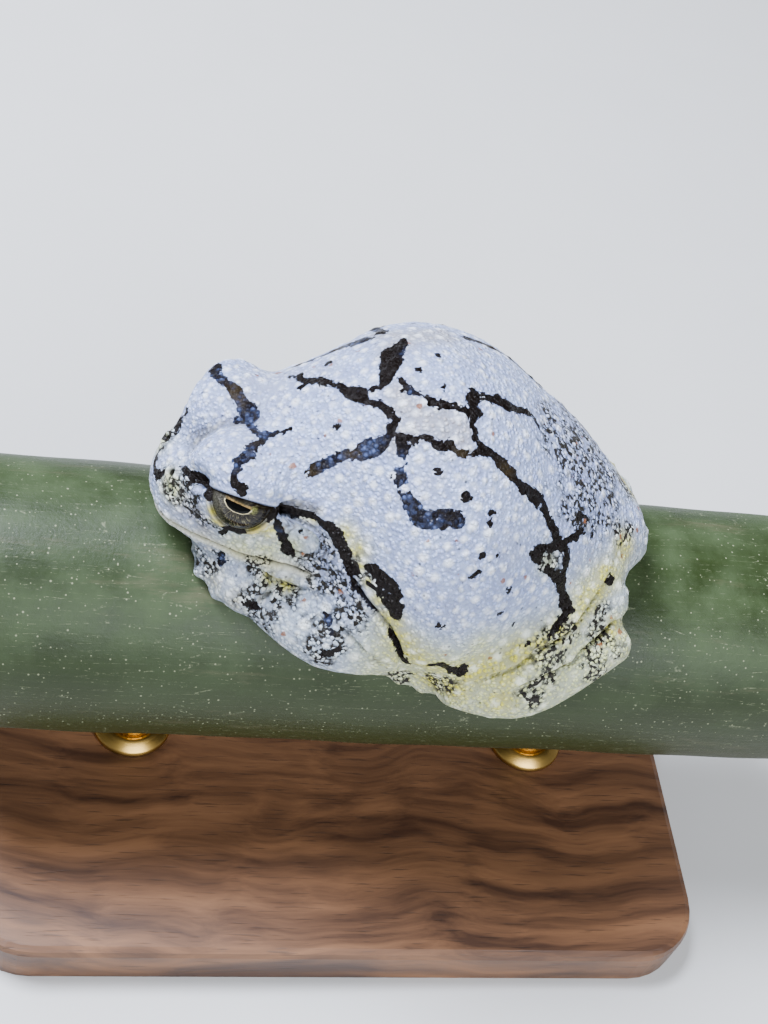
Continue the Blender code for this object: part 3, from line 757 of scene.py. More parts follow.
for side, _ in SIDES:
    nose = np.linalg.norm(points - np.array(nostrils[side]), axis=1)
    # Painted shade in the nostril's hole.
    seam_shade = np.maximum(seam_shade, 1 - smooth_step(0.28, 0.44, nose))
    near_nose = np.maximum(near_nose, bell(nose, 0.6))
    raised = 0.17 * bell(nose - 0.60, 0.17) + 0.10 * bell(nose, 1.0) - 0.55 * bell(nose, 0.28)
    points = points + normals * np.where(nose < 3, raised, 0)[:, None]
    plain *= 1 - bell(nose, 0.6)
    drum, rise = ear_place(points, side)
    raised = 0.30 * bell(drum - EAR_RADIUS - 0.08, 0.17) - 0.22 * (1 - smooth_step(1.3, 1.5, drum))
    raised += 0.12 * bell(drum, 0.7)
    drums = np.maximum(drums, 1 - smooth_step(1.2, 1.5, drum))
    # Painted shade in the valleys inside and outside the eardrum's raised ring.
    ear_ring_shade = np.maximum(ear_ring_shade, bell(drum - 1.5, 0.10) + bell(drum - 1.98, 0.14))
    points = points + np.array(eardrums[side][1]) * np.where(drum < 3, raised, 0)[:, None]
    plain *= 1 - 0.35 * (1 - smooth_step(1.5, 2.0, drum))

for side, _ in SIDES:
    inside, far, offset = lid_opening(points, side)
    out = np.maximum(-inside, 0)
    lip_round = np.sqrt(np.maximum(1 - (1 - np.minimum(out / 0.34, 1)) ** 2, 0))
    wall = EYE_RADIUS + 0.03 + 0.36 * lip_round + 0.25 * np.maximum(out - 0.34, 0)
    sunk = EYE_RADIUS + 0.03 - 0.45 * smooth_step(0.0, 0.25, inside)
    target = np.where(inside > 0, sunk, wall)
    share = np.where(inside > -9, 1 - smooth_step(0.4, 1.3, out), 0)
    share = np.where(far > EYE_RADIUS - 0.6, share, 0)
    moved = far + (target - far) * share
    points = points + offset * (moved / np.maximum(far, 0.1) - 1)[:, None]
    _, gaze, _, face_up = eye_frame(side)
    lifted = np.degrees(np.arctan2(offset @ np.array(face_up), offset @ np.array(gaze)))
    below = 1 - 0.8 * smooth_step(EYE_UPPER_EDGE - 16, EYE_UPPER_EDGE - 2, lifted)
    rim = np.maximum(rim, np.where(inside > -9, below * bell(inside + 0.16, 0.22), 0))
    # Painted shade: a thin black line in the gap between the lid and the eyeball.
    seam_shade = np.maximum(seam_shade, np.where(inside > -9, 0.9 * bell(inside, 0.08), 0))
    plain *= 1 - np.where(inside > -9, 1 - smooth_step(0.12, 0.40, out), 0)
write_places(bm, points)


# Skin marks
# The bark-like pattern: a broken black cross with a pale middle on the back, bands on the legs and arms,
# and a black band from the eye over the eardrum. It is pigment in the skin. Each stroke is given by places
# of the photograph, as x and y in pixels and its width there in tenths of a millimetre, and is cast onto
# the skin.

BACK_MARKS = {
    "far arm of the cross": (
        (403, 341, 6), (399, 347, 11), (391, 355, 17), (391, 362, 18), (389, 369, 15), (386, 376, 11),
        (384, 383, 6),
    ),
    "line towards the head": (
        (290, 376, 1), (298, 378, 3), (306, 381, 4), (313, 381, 7), (320, 380, 4), (330, 383, 3),
        (340, 387, 3), (347, 391, 6), (353, 394, 12), (358, 394, 13), (361, 397, 10), (366, 402, 5),
        (373, 403, 4), (380, 404, 4), (386, 408, 5), (391, 412, 5), (393, 417, 3), (398, 419, 2),
    ),
    "its fork": ((309, 382, 4), (304, 386, 3), (299, 388, 2)),
    "thread beside it": ((366, 390, 2), (373, 388, 2), (380, 388, 2)),
    "upper edge": (
        (400, 379, 4), (404, 384, 3), (408, 388, 4), (411, 391, 4), (419, 394, 2), (425, 397, 2),
        (430, 401, 6), (437, 404, 4), (443, 404, 8), (448, 407, 4), (455, 407, 6), (461, 408, 5),
        (466, 411, 3), (472, 416, 6),
    ),
    "upper corner": ((473, 391, 6), (474, 396, 10), (472, 402, 8), (475, 409, 6), (478, 412, 6),
        (473, 415, 8)),
    "arm towards the far hip": (
        (476, 395, 7), (483, 396, 5), (490, 398, 6), (497, 401, 8), (505, 404, 10), (512, 407, 7),
        (517, 411, 5), (523, 411, 4), (529, 413, 3), (535, 420, 2), (540, 429, 1),
    ),
    "right edge": ((473, 417, 6), (472, 425, 2), (475, 432, 3), (476, 438, 4), (479, 444, 4),
        (484, 449, 6)),
    "left edge": ((398, 419, 2), (394, 425, 5), (392, 430, 5), (389, 435, 4), (386, 438, 3)),
    "lower edge": (
        (399, 438, 3), (402, 443, 6), (405, 438, 4), (411, 440, 3), (418, 438, 3), (425, 437, 3),
        (430, 438, 3), (434, 441, 3), (438, 445, 3), (442, 448, 2), (446, 445, 5), (450, 443, 7),
        (451, 448, 5), (456, 452, 4), (463, 454, 3), (469, 454, 3), (474, 452, 3), (480, 452, 4),
        (486, 451, 6),
    ),
    "far side of the rump": ((508, 354, 3), (514, 360, 5), (522, 368, 5), (530, 376, 3), (537, 384, 4),
        (541, 388, 4)),
    "bar over the eyes": (
        (213, 355, 4), (216, 361, 7), (216, 367, 8), (216, 373, 6), (220, 378, 5), (226, 383, 5),
        (232, 387, 7), (236, 392, 9), (239, 398, 9), (243, 404, 10), (248, 410, 14), (248, 416, 13),
        (249, 421, 8), (251, 426, 4), (254, 431, 5), (259, 434, 6), (264, 434, 7), (268, 435, 5),
        (274, 434, 4), (281, 433, 2), (289, 429, 2),
    ),
    "its inner fork": ((246, 419, 8), (240, 421, 7), (237, 423, 4)),
    "its tail": (
        (264, 436, 5), (261, 441, 4), (256, 445, 6), (251, 448, 6), (247, 452, 6), (243, 457, 6),
        (238, 461, 6), (237, 467, 5), (236, 473, 4), (234, 478, 5), (236, 484, 5), (240, 489, 6),
        (242, 493, 5),
    ),
    "its tail's fork": ((248, 453, 6), (253, 455, 4)),
    "far side of the snout": ((189, 395, 2), (187, 403, 4), (187, 409, 3), (184, 415, 2), (182, 419, 1)),
    "thread on the snout": ((177, 423, 1), (173, 427, 2), (169, 430, 2)),
    "snout's edge": ((160, 437, 2), (158, 442, 3)),
}
SIDE_MARKS = {
    "shoulder": (
        (389, 436, 3), (384, 441, 8), (377, 446, 13), (369, 449, 15), (361, 452, 12), (355, 454, 8),
        (348, 455, 6), (341, 457, 5), (336, 458, 7), (330, 461, 7), (325, 464, 7), (318, 469, 7),
        (313, 471, 8), (310, 473, 5),
    ),
    "hook on the flank": (
        (401, 441, 5), (403, 448, 7), (402, 455, 6), (401, 462, 7), (400, 470, 6), (400, 477, 8),
        (402, 484, 8), (405, 494, 7), (410, 503, 9), (415, 512, 12), (421, 519, 15), (430, 520, 14),
        (440, 519, 12), (450, 519, 13), (457, 519, 11),
    ),
    "line to the hip": (
        (484, 449, 6), (492, 455, 5), (498, 460, 6), (504, 465, 9), (507, 470, 8), (510, 475, 6),
        (515, 480, 5), (521, 485, 6), (527, 490, 7), (533, 495, 11), (538, 499, 12), (542, 505, 11),
        (546, 511, 8), (548, 518, 6), (551, 525, 6), (554, 532, 6), (557, 539, 6), (561, 545, 8),
        (566, 550, 5), (567, 560, 4), (565, 570, 5), (561, 577, 9), (560, 583, 9), (561, 590, 8),
        (562, 596, 8), (565, 602, 9), (567, 608, 8), (571, 612, 6),
    ),
    "its lower end": ((567, 611, 6), (564, 617, 6), (559, 622, 5), (556, 627, 5), (552, 634, 3),
        (550, 638, 2)),
    "its rear fork": (
        (563, 544, 6), (568, 540, 6), (573, 537, 4), (579, 532, 4), (585, 531, 3), (590, 527, 4),
        (592, 533, 3), (591, 538, 2),
    ),
    "its thread": ((589, 524, 3), (586, 517, 3), (580, 515, 2)),
    "its front fork": (
        (534, 555, 6), (536, 549, 5), (544, 548, 4), (551, 548, 4), (558, 545, 5), (563, 546, 6),
    ),
    "ring under it": ((536, 558, 5), (540, 564, 4), (546, 569, 5), (552, 573, 6), (557, 577, 8)),
    "flank patch": (
        (367, 566, 4), (373, 569, 8), (379, 575, 10), (385, 580, 11), (391, 588, 13), (394, 597, 15),
        (395, 606, 14), (396, 613, 8), (397, 618, 3),
    ),
    "its front edge": ((369, 583, 4), (376, 589, 6), (383, 597, 8), (388, 604, 9)),
    "band behind the elbow": (
        (387, 627, 2), (390, 633, 4), (394, 638, 5), (397, 644, 6), (400, 650, 6), (403, 657, 5),
        (407, 663, 4),
    ),
    "low flank patch": ((431, 665, 4), (440, 664, 5), (447, 666, 8), (453, 670, 8), (459, 675, 3)),
    "its hook": ((463, 665, 3), (466, 669, 3), (462, 673, 5)),
    "band over the eardrum": (
        (270, 519, 3), (275, 514, 4), (279, 508, 6), (282, 511, 5), (287, 510, 3), (292, 512, 3),
        (297, 513, 5), (303, 515, 6), (309, 517, 4), (315, 516, 5), (319, 520, 4), (324, 526, 7),
        (331, 528, 8), (335, 535, 9), (338, 542, 10), (343, 548, 9), (346, 554, 8), (347, 562, 6),
        (350, 569, 6), (354, 572, 7),
    ),
    "its tail": ((352, 579, 3), (357, 588, 5), (363, 592, 4), (367, 600, 3), (373, 607, 4), (378, 615, 2)),
    "bar before the eardrum": ((277, 522, 4), (279, 529, 5), (282, 537, 6), (286, 545, 6),
        (288, 552, 6), (293, 553, 3)),
    "thread on the eardrum": ((303, 520, 2), (304, 526, 3), (302, 531, 2)),
    "blotch under the eye": ((222, 534, 3), (226, 529, 4), (232, 530, 6), (238, 531, 6), (243, 533, 4)),
    "bar before the eye": (
        (180, 467, 2), (184, 470, 4), (189, 474, 7), (192, 478, 8), (198, 476, 8), (204, 478, 8),
        (208, 483, 7), (208, 490, 6), (209, 497, 4),
    ),
    "bar before the nostril": ((155, 470, 3), (157, 475, 7), (162, 474, 5), (166, 470, 2), (171, 467, 2)),
    "spot on the hip": ((608, 579, 8), (610, 581, 8)),
    "fingertip": ((223, 553, 4), (222, 558, 6), (219, 563, 4)),
    "wrist": ((249, 604, 5), (253, 605, 7), (257, 608, 4)),
    "forearm": ((318, 657, 2), (324, 652, 3), (331, 655, 3), (336, 650, 4)),
    "crook of the arm": ((325, 613, 3), (329, 619, 4), (328, 625, 1), (332, 634, 2)),
}
SIDE_DOTS = (
    ((492, 513, 5),), ((483, 556, 4),), ((497, 556, 3),), ((440, 626, 5),), ((501, 612, 4),),
    ((514, 624, 3),), ((509, 589, 3), (509, 592, 3)), ((471, 577, 1), (478, 573, 3)),
    ((466, 496, 4), (470, 498, 3)), ((524, 650, 3), (528, 643, 2)), ((439, 471, 3),),
    ((416, 370, 3), (420, 370, 2)), ((437, 355, 3), (440, 357, 2)), ((338, 426, 4),), ((489, 524, 3),),
)
# Zones, as x and y in pixels and the radius in millimetres.
# Places of a painted blue sky reflection on the black marks.
SKY_REFLECTION_ZONES = (
    (372, 448, 1.0), (364, 451, 1.0), (340, 457, 0.9), (328, 463, 0.9), (399, 465, 0.8), (400, 480, 1.0),
    (406, 497, 1.0), (417, 515, 1.5), (430, 522, 1.2), (454, 525, 0.6), (220, 374, 0.8), (226, 381, 0.9),
    (246, 410, 1.4), (244, 418, 1.2), (262, 432, 0.9), (415, 390, 0.5), (303, 520, 0.6), (275, 533, 0.5),
    (250, 452, 0.6), (220, 560, 0.8), (352, 612, 1.4), (330, 620, 1.0), (271, 597, 0.8),
)
OLIVE_ZONES = (
    (235, 392, 1.1), (238, 398, 0.9), (352, 455, 0.8), (506, 470, 0.8), (313, 473, 0.7), (462, 452, 0.7),
)
SPECKLE_ZONES = (
    (585, 470, 4.2), (560, 430, 2.8), (600, 500, 3.2), (575, 510, 2.0), (550, 560, 1.6), (558, 548, 1.4),
    (622, 532, 1.6), (250, 603, 1.7), (270, 597, 1.6), (262, 620, 1.6), (285, 590, 1.4), (330, 632, 1.8),
    (322, 650, 1.8), (352, 612, 1.9), (345, 590, 1.6), (325, 548, 1.5), (318, 572, 2.0), (335, 580, 1.8),
    (208, 560, 1.5), (178, 490, 1.8), (192, 505, 1.6), (168, 480, 1.4), (205, 520, 1.2), (258, 566, 1.2),
    (556, 645, 2.2), (568, 635, 1.4), (548, 658, 1.4), (601, 612, 1.1), (598, 628, 1.1), (600, 648, 1.8),
    (596, 668, 1.6), (541, 682, 1.5), (531, 697, 1.4), (360, 570, 1.2), (400, 674, 1.4), (440, 682, 1.5),
    (370, 677, 1.2), (310, 560, 1.4),
)
YELLOW_ZONES = (
    (256, 531, 1.2), (264, 530, 1.0), (272, 532, 0.9), (216, 522, 0.8), (270, 577, 1.0),
    (287, 583, 1.0), (345, 535, 1.2), (357, 550, 1.2), (392, 620, 1.4), (402, 640, 1.6),
    (412, 655, 1.8), (440, 668, 1.8), (480, 670, 2.0), (520, 655, 1.8), (560, 632, 1.5),
    (590, 600, 1.6), (606, 575, 1.6), (390, 684, 1.5), (430, 680, 1.5), (624, 545, 1.8),
    (212, 512, 0.7), (610, 628, 1.2), (500, 700, 1.5), (455, 690, 1.5), (312, 519, 0.6),
    (360, 566, 0.8), (368, 582, 0.8), (378, 600, 0.9), (386, 616, 1.0), (396, 634, 1.2),
    (424, 664, 1.4), (465, 674, 1.5), (495, 668, 1.4), (508, 678, 1.2), (540, 645, 1.3),
    (578, 618, 1.2), (600, 588, 1.3),
)
CREAM_ZONES = (
    (265, 552, 2.2), (240, 545, 2.0), (288, 550, 1.8), (600, 640, 3.0), (560, 655, 3.0), (440, 665, 2.5),
    (590, 600, 3.0), (618, 575, 2.5), (520, 690, 4.0), (170, 485, 1.6), (480, 645, 2.2), (548, 562, 1.3),
)
WARM_ZONES = (
    (397, 392, 1.2), (405, 405, 1.6), (418, 413, 1.7), (430, 422, 1.8), (445, 420, 1.6), (458, 425, 1.5),
    (462, 440, 1.2), (445, 433, 1.2), (412, 430, 1.3), (395, 445, 0.8), (400, 433, 0.9), (466, 430, 1.0),
    (180, 500, 1.8), (168, 482, 1.4), (196, 512, 1.6), (205, 530, 1.2), (215, 580, 1.6), (236, 600, 1.4),
)
WHITE_DOTS = ((389, 356, 3), (395, 356, 5), (386, 376, 4), (390, 379, 4), (437, 518, 5), (540, 505, 6),
              (390, 593, 4), (383, 597, 5), (376, 581, 5), (190, 476, 4), (545, 553, 6), (552, 561, 6),
              (560, 552, 5), (556, 569, 5), (564, 609, 5), (522, 485, 3), (477, 404, 4), (468, 408, 6))
ORANGE_DOTS = (
    (408, 343, 5), (358, 351, 3), (314, 367, 3), (278, 373, 6), (340, 421, 4), (366, 405, 2), (342, 393, 2),
    (281, 529, 5), (306, 538, 4), (303, 554, 3), (341, 592, 5), (503, 581, 5), (493, 434, 4), (582, 437, 3),
    (577, 443, 3), (585, 520, 6), (570, 583, 3), (590, 560, 3), (622, 556, 4), (620, 536, 5), (637, 530, 5),
    (600, 645, 5), (620, 632, 6), (445, 655, 4), (490, 658, 4), (573, 477, 2), (283, 634, 5), (303, 600, 5),
    (525, 577, 4), (428, 540, 2), (270, 455, 3), (457, 541, 3), (611, 618, 4), (413, 574, 3), (459, 575, 3),
)

skin_tree = BVHTree.FromBMesh(bm)


def zone_share(points, zones):
    """How much each point belongs to soft round zones, 0 to 1."""
    share = np.zeros(len(points))
    for x, y, radius in zones:
        middle = on_skin(x, y)
        if middle is None:
            continue
        for place in (middle, other_side(middle)):
            gap = np.linalg.norm(points - np.array(place), axis=1)
            share = np.maximum(share, bell(gap, radius))
    return share


strokes = cast_strokes(BACK_MARKS.values(), False) + cast_strokes([*SIDE_MARKS.values(), *SIDE_DOTS], True)
marks = stroke_depth(points, strokes)
marks = np.minimum(marks, -stroke_depth(points, cast_strokes([(d,) for d in WHITE_DOTS], True)))
orange = stroke_depth(points, cast_strokes([(d,) for d in ORANGE_DOTS], True))
sky_reflection = zone_share(points, SKY_REFLECTION_ZONES)
marks = marks - 1.2 * near_nose
olive = zone_share(points, OLIVE_ZONES)
speckle = zone_share(points, SPECKLE_ZONES)
yellow = zone_share(points, YELLOW_ZONES)
warm = zone_share(points, WARM_ZONES)
places = frog_places(points)
cream = zone_share(points, CREAM_ZONES)
hind = 0.35 + 0.65 * smooth_step(16.0, 21.0, places[:, 0])
cream = np.maximum(cream, hind * (1 - smooth_step(0.0, 7.0, places[:, 2])))
cream = np.maximum(cream, 0.35 * drums)
speckle = speckle * (1 - drums)


# Skin grain
# Low domed glands, about 1.2 mm apart and paler than the skin between them, which make the hide look like
# bark. They are larger and creamier low on the flanks, and fade out on the lids, lips, eardrums and
# nostrils.

GRAIN_SPACING_MM = 1.2
GRAIN_HEIGHT = 0.17
GRAIN_TRIES = 60000
GRAIN_CELL = 1.3

rng = np.random.default_rng(7)
count = len(points)
larger = 0.25 * (1 - smooth_step(-2, 8, places[:, 2]))
smaller = 0.22 * (1 - smooth_step(4, 14, places[:, 0]))
spacing = GRAIN_SPACING_MM * (1 + larger - smaller)
cells = {}
seeds = []
for i in rng.permutation(count)[:GRAIN_TRIES]:
    x, y, z = points[i]
    gap = spacing[i]
    key = (int(x // GRAIN_CELL), int(y // GRAIN_CELL), int(z // GRAIN_CELL))
    near = [
        j
        for a in (-1, 0, 1)
        for b in (-1, 0, 1)
        for c in (-1, 0, 1)
        for j in cells.get((key[0] + a, key[1] + b, key[2] + c), ())
    ]
    is_clear = all(
        (x - points[j, 0]) ** 2 + (y - points[j, 1]) ** 2 + (z - points[j, 2]) ** 2 > gap * gap
        for j in near
    )
    if is_clear:
        cells.setdefault(key, []).append(i)
        seeds.append(i)
seeds = np.array(seeds)
seed_tree = KDTree(len(seeds))
for k, i in enumerate(seeds):
    seed_tree.insert(points[i], k)
seed_tree.balance()
nearest = np.zeros(count, int)
gap = np.zeros(count)
for i, point in enumerate(points):
    _, nearest[i], gap[i] = seed_tree.find(point)
size = rng.uniform(0.36, 0.58, len(seeds))[nearest] * spacing
height = rng.uniform(0.25, 1.0, len(seeds)) ** 1.3
dome = np.clip(1 - (gap / size) ** 2, 0, 1) ** 1.5
rise = dome * height[nearest] * plain
limb = 1 - 0.5 * (1 - smooth_step(1.0, 6.0, places[:, 2]))
shift = rng.uniform(-0.18, 0.24, len(seeds))
shift[rng.random(len(seeds)) < 0.05] = -0.9
own = smooth_step(0.05, 0.5, dome) * plain
move = np.clip(marks[seeds[nearest]] - marks, -0.20, 0.20) + shift[nearest]
marks = marks + move * own

points = points + normals * (GRAIN_HEIGHT * rise * limb)[:, None]
write_places(bm, points)
points, pairs, normals = read_places(bm)
# Painted shade: a dark olive mask for hollows, the lines of the folds and the rings about the eardrums.
hollow = ((neighbour_means(points, pairs) - points) * normals).sum(1)
for _ in range(8):
    hollow = neighbour_means(hollow[:, None], pairs)[:, 0]
crease_shade = np.maximum(smooth_step(0.0035, 0.02, hollow), bell(stroke_depth(points, fold_lines), 0.20))
crease_shade = np.maximum(crease_shade, ear_ring_shade)


# Skin finish
# A moist, granular hide: small round pebbles of gland, pale lavender grey on the back, cream low on the
# flanks and yellow-green in the folds, with the black marks lying over them. It is thin and soft and lets a
# little light in.

HIDE_WHITE = "#f3f7fd"
HIDE_PALE = "#bccdf4"
HIDE_GREY = "#9cabd8"
DEEP_GROUND_AND_GAP_SHADE = "#666d80"
CREASE_SHADE_OLIVE = "#453d1c"
HIDE_WARM = "#aaa39b"
HIDE_CREAM = "#ced28c"
TOP_CREAM = "#ecf0cd"
HIDE_YELLOW = "#d8cf36"
MARK_BLACK = "#0d0705"
MARK_SKY_REFLECTION = "#6577a8"
MARK_OLIVE = "#362c19"
SPECK_ORANGE = "#85522f"
SPECK_DARK = "#221f1b"
LID_CREAM = "#bfae68"
LIP_CREAM = "#d4cea0"
PEBBLE = 0.42
GLAND = 0.85

skin_values = {
    "mark": marks,
    "sky_reflection": sky_reflection,
    "olive": olive,
    "speckle": speckle,
    "yellow": yellow,
    "warm": warm,
    "cream": cream,
    "orange": orange,
    "dome": dome * plain * np.clip(0.2 + height[nearest], 0, 1),
    "plain": plain,
    "crease_shade": crease_shade,
    "lid": rim,
    "mouth": seam_shade,
    "lips": lips,
}

# Hide, grown: round pebbles 0.42 mm across on a lavender-grey ground that clouds over 1.4 mm and 6 mm, and
# larger white domes. The marks move with single pebbles, so their edges are toothed. A film of moisture
# gives small glints. Painted into the colour are a blue sky reflection on pebble tops in some marks, and
# shade between the pebbles, in hollows and folds, and in the seams of the mouth, nostrils and lids.
hide_finish, tree = new_material("moist_granular_hide")
held = {name: add(tree, "Attribute", attribute_name=name)["Fac"] for name in skin_values}
mm = millimetres(tree)
fine = add(tree, "TexNoise", {"Vector": mm, "Scale": 3.2, "Detail": 5.0, "Roughness": 0.6})[0]
cloud = add(tree, "TexNoise", {"Vector": mm, "Scale": 0.7, "Detail": 4.0, "Roughness": 0.55})[0]
broad = add(tree, "TexNoise", {"Vector": mm, "Scale": 0.16, "Detail": 3.0})[0]
bent = add(tree, "VectorMath", (fine, (0.25, 0.25, 0.25), mm), operation="MULTIPLY_ADD")[0]
pebble = add(tree, "TexVoronoi", {"Vector": bent, "Scale": 1 / PEBBLE})
pick = add(tree, "SeparateColor", (pebble["Color"],))
bead = add(tree, "MapRange", (pebble["Distance"], 0.62, 0.08), interpolation_type="SMOOTHSTEP")
top = add(tree, "Math", (bead[0], held["plain"]), operation="MULTIPLY")[0]
gland = add(tree, "TexVoronoi", {"Vector": bent, "Scale": 1 / GLAND})
gland_pick = add(tree, "SeparateColor", (gland["Color"],))[0]
gland_some = add(tree, "MapRange", (gland_pick, 0.60, 0.95))[0]
gland_top = add(tree, "MapRange", (gland["Distance"], 0.50, 0.10), interpolation_type="SMOOTHSTEP")[0]
gland_top = add(tree, "Math", (gland_top, gland_some), operation="MULTIPLY")[0]
gland_top = add(tree, "Math", (gland_top, held["plain"]), operation="MULTIPLY")[0]

mottle = add(tree, "Math", (fine, 0.9, cloud), operation="MULTIPLY_ADD")[0]
ground = add(tree, "MapRange", (mottle, 0.80, 1.12), interpolation_type="SMOOTHSTEP")[0]
body = add(tree, "MixRGB", (ground, linear(HIDE_GREY), linear(HIDE_PALE)))[0]
warm_edge = add(tree, "MapRange", (broad, 0.52, 0.74, 0.0, 0.30))[0]
warm_most = add(tree, "Math", (held["warm"], 0.80), operation="MULTIPLY")[0]
warmed = add(tree, "Math", (warm_most, warm_edge), operation="MAXIMUM")[0]
body = add(tree, "MixRGB", (warmed, body, linear(HIDE_WARM)))[0]
here = {}
for name, most, colour in (("cream", 0.90, HIDE_CREAM), ("yellow", 0.95, HIDE_YELLOW)):
    here[name] = add(tree, "Math", (held[name], most), operation="MULTIPLY")[0]
    body = add(tree, "MixRGB", (here[name], body, linear(colour)))[0]
# Partly a deeper ground tone and partly painted shade: the skin between the pebbles is mixed darker.
low = add(tree, "MapRange", (top, 0.0, 0.55, 0.54, 0.0))[0]
gap_tone_and_shade = add(tree, "Math", (low, held["plain"]), operation="MULTIPLY")[0]
body = add(tree, "MixRGB", (gap_tone_and_shade, body, linear(DEEP_GROUND_AND_GAP_SHADE)))[0]
bead_white = add(tree, "MapRange", (pick[0], 0.55, 1.0, 0.0, 0.48))[0]
bead_white = add(tree, "Math", (bead_white, top), operation="MULTIPLY")[0]
dome_white = add(tree, "MapRange", (held["dome"], 0.15, 0.85, 0.0, 0.80))[0]
white = add(tree, "Math", (bead_white, dome_white), operation="MAXIMUM")[0]
gland_white = add(tree, "Math", (gland_top, 0.74), operation="MULTIPLY")[0]
white = add(tree, "Math", (white, gland_white), operation="MAXIMUM")[0]
creamy = add(tree, "Math", (here["cream"], here["yellow"]), operation="MAXIMUM")[0]
tone = add(tree, "MixRGB", (creamy, linear(HIDE_WHITE), linear(TOP_CREAM)))[0]
body = add(tree, "MixRGB", (white, body, tone))[0]
lid_some = add(tree, "MapRange", (cloud, 0.40, 0.56, 0.30, 0.85))[0]
lid_here = add(tree, "Math", (held["lid"], lid_some), operation="MULTIPLY")[0]
body = add(tree, "MixRGB", (lid_here, body, linear(LID_CREAM)))[0]
# Cream lips, and painted shade of dark olive in the hollows and folds.
for name, most, colour in (("lips", 0.70, LIP_CREAM), ("crease_shade", 0.72, CREASE_SHADE_OLIVE)):
    here[name] = add(tree, "Math", (held[name], most), operation="MULTIPLY")[0]
    body = add(tree, "MixRGB", (here[name], body, linear(colour)))[0]

net = add(tree, "MapRange", (pebble["Distance"], 0.36, 0.44))[0]
net_edge = add(tree, "MapRange", (cloud, 0.42, 0.50))[0]
net_broken = add(tree, "MapRange", (fine, 0.42, 0.50))[0]
net_parts = add(tree, "Math", (net, net_edge), operation="MULTIPLY")[0]
net_parts = add(tree, "Math", (net_parts, net_broken), operation="MULTIPLY")[0]
few = add(tree, "MapRange", (pick[1], 0.80, 0.84))[0]
net_or_few = add(tree, "Math", (net_parts, few), operation="MAXIMUM")[0]
ragged = add(tree, "Math", (cloud, 1.6, held["speckle"]), operation="MULTIPLY_ADD")[0]
pepper_edge = add(tree, "MapRange", (ragged, 1.0, 1.35))[0]
peppered = add(tree, "Math", (net_or_few, pepper_edge), operation="MULTIPLY")[0]
grit = add(tree, "TexVoronoi", {"Vector": bent, "Scale": 2.4})
grit_pick = add(tree, "SeparateColor", (grit["Color"],))[0]
grit_some = add(tree, "MapRange", (grit_pick, 0.965, 0.97, 0.0, 0.7))[0]
grit_spot = add(tree, "MapRange", (grit["Distance"], 0.20, 0.36, 1.0, 0.0))[0]
rare = add(tree, "Math", (grit_some, grit_spot), operation="MULTIPLY")[0]
pepper = add(tree, "Math", (peppered, rare), operation="MAXIMUM")[0]
body = add(tree, "MixRGB", (pepper, body, linear(SPECK_DARK)))[0]
orange_fray = add(tree, "Math", (fine, 0.5, held["orange"]), operation="MULTIPLY_ADD")[0]
orange_here = add(tree, "MapRange", (orange_fray, 0.18, 0.28, 0.0, 0.85))[0]
body = add(tree, "MixRGB", (orange_here, body, linear(SPECK_ORANGE)))[0]

tooth = add(tree, "Math", (pick[2], 0.24, held["mark"]), operation="MULTIPLY_ADD")[0]
frayed = add(tree, "Math", (fine, 0.36, tooth), operation="MULTIPLY_ADD")[0]
marked = add(tree, "MapRange", (frayed, 0.125, 0.165), interpolation_type="SMOOTHSTEP")[0]
# Painted sky reflection: blue on the tops of some pebbles inside the marks, where the zones ask for it.
sheen_top = add(tree, "MapRange", {0: top, 3: 0.15, 4: 0.85})[0]
sheen_some = add(tree, "MapRange", (pick[1], 0.35, 0.75, 0.08, 1.0))[0]
sky_reflection_here = add(tree, "Math", (held["sky_reflection"], sheen_top), operation="MULTIPLY")[0]
sky_reflection_here = add(tree, "Math", (sky_reflection_here, sheen_some), operation="MULTIPLY")[0]
black = add(tree, "MixRGB", (sky_reflection_here, linear(MARK_BLACK), linear(MARK_SKY_REFLECTION)))[0]
olive_here = add(tree, "Math", (held["olive"], 0.6), operation="MULTIPLY")[0]
black = add(tree, "MixRGB", (olive_here, black, linear(MARK_OLIVE)))[0]
skin_colour = add(tree, "MixRGB", (marked, body, black))[0]
# Painted shade: the mouth's seam, the nostril holes and the lid gaps are mixed to black.
seam_shade_dark = add(tree, "Math", (held["mouth"], 0.98), operation="MULTIPLY")[0]
skin_colour = add(tree, "MixRGB", (seam_shade_dark, skin_colour, linear(MARK_BLACK)))[0]

wet = add(tree, "MapRange", (fine, 0.3, 0.7, 0.32, 0.48))[0]
pebble_height = add(tree, "Math", (top, 0.9, fine), operation="MULTIPLY_ADD")[0]
pebble_height = add(tree, "Math", (gland_top, 1.3, pebble_height), operation="MULTIPLY_ADD")[0]
relief = add(tree, "Bump", {"Height": pebble_height, "Strength": 1.0, "Distance": 0.00019})[0]
glaze = add(tree, "Bump", {"Height": pebble_height, "Strength": 1.0, "Distance": 0.00022})[0]
finish_material(tree, {
    "Base Color": skin_colour,
    "Roughness": wet,
    "Normal": relief,
    "Coat Normal": glaze,
    "Specular IOR Level": 0.05,
    "Coat Weight": 0.16,
    "Coat Roughness": 0.08,
    "Subsurface Weight": 0.10,
    "Subsurface Radius": (1.0, 0.6, 0.45),
    "Subsurface Scale": 0.0005,
})

skin = place_piece("frog_skin", bm, hide_finish, MM)
for name, values in skin_values.items():
    stored = skin.data.attributes.new(name, "FLOAT", "POINT")
    stored.data.foreach_set("value", np.asarray(values, np.float32))
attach(skin, "root")
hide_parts(*FLESH)


# Eyes
# Two wet balls with a clear, slightly bulging front. Under it lies the iris, silver in front and dark with
# pale spokes below and behind, and a level pupil, flat above and round below, with a fine cream edge.

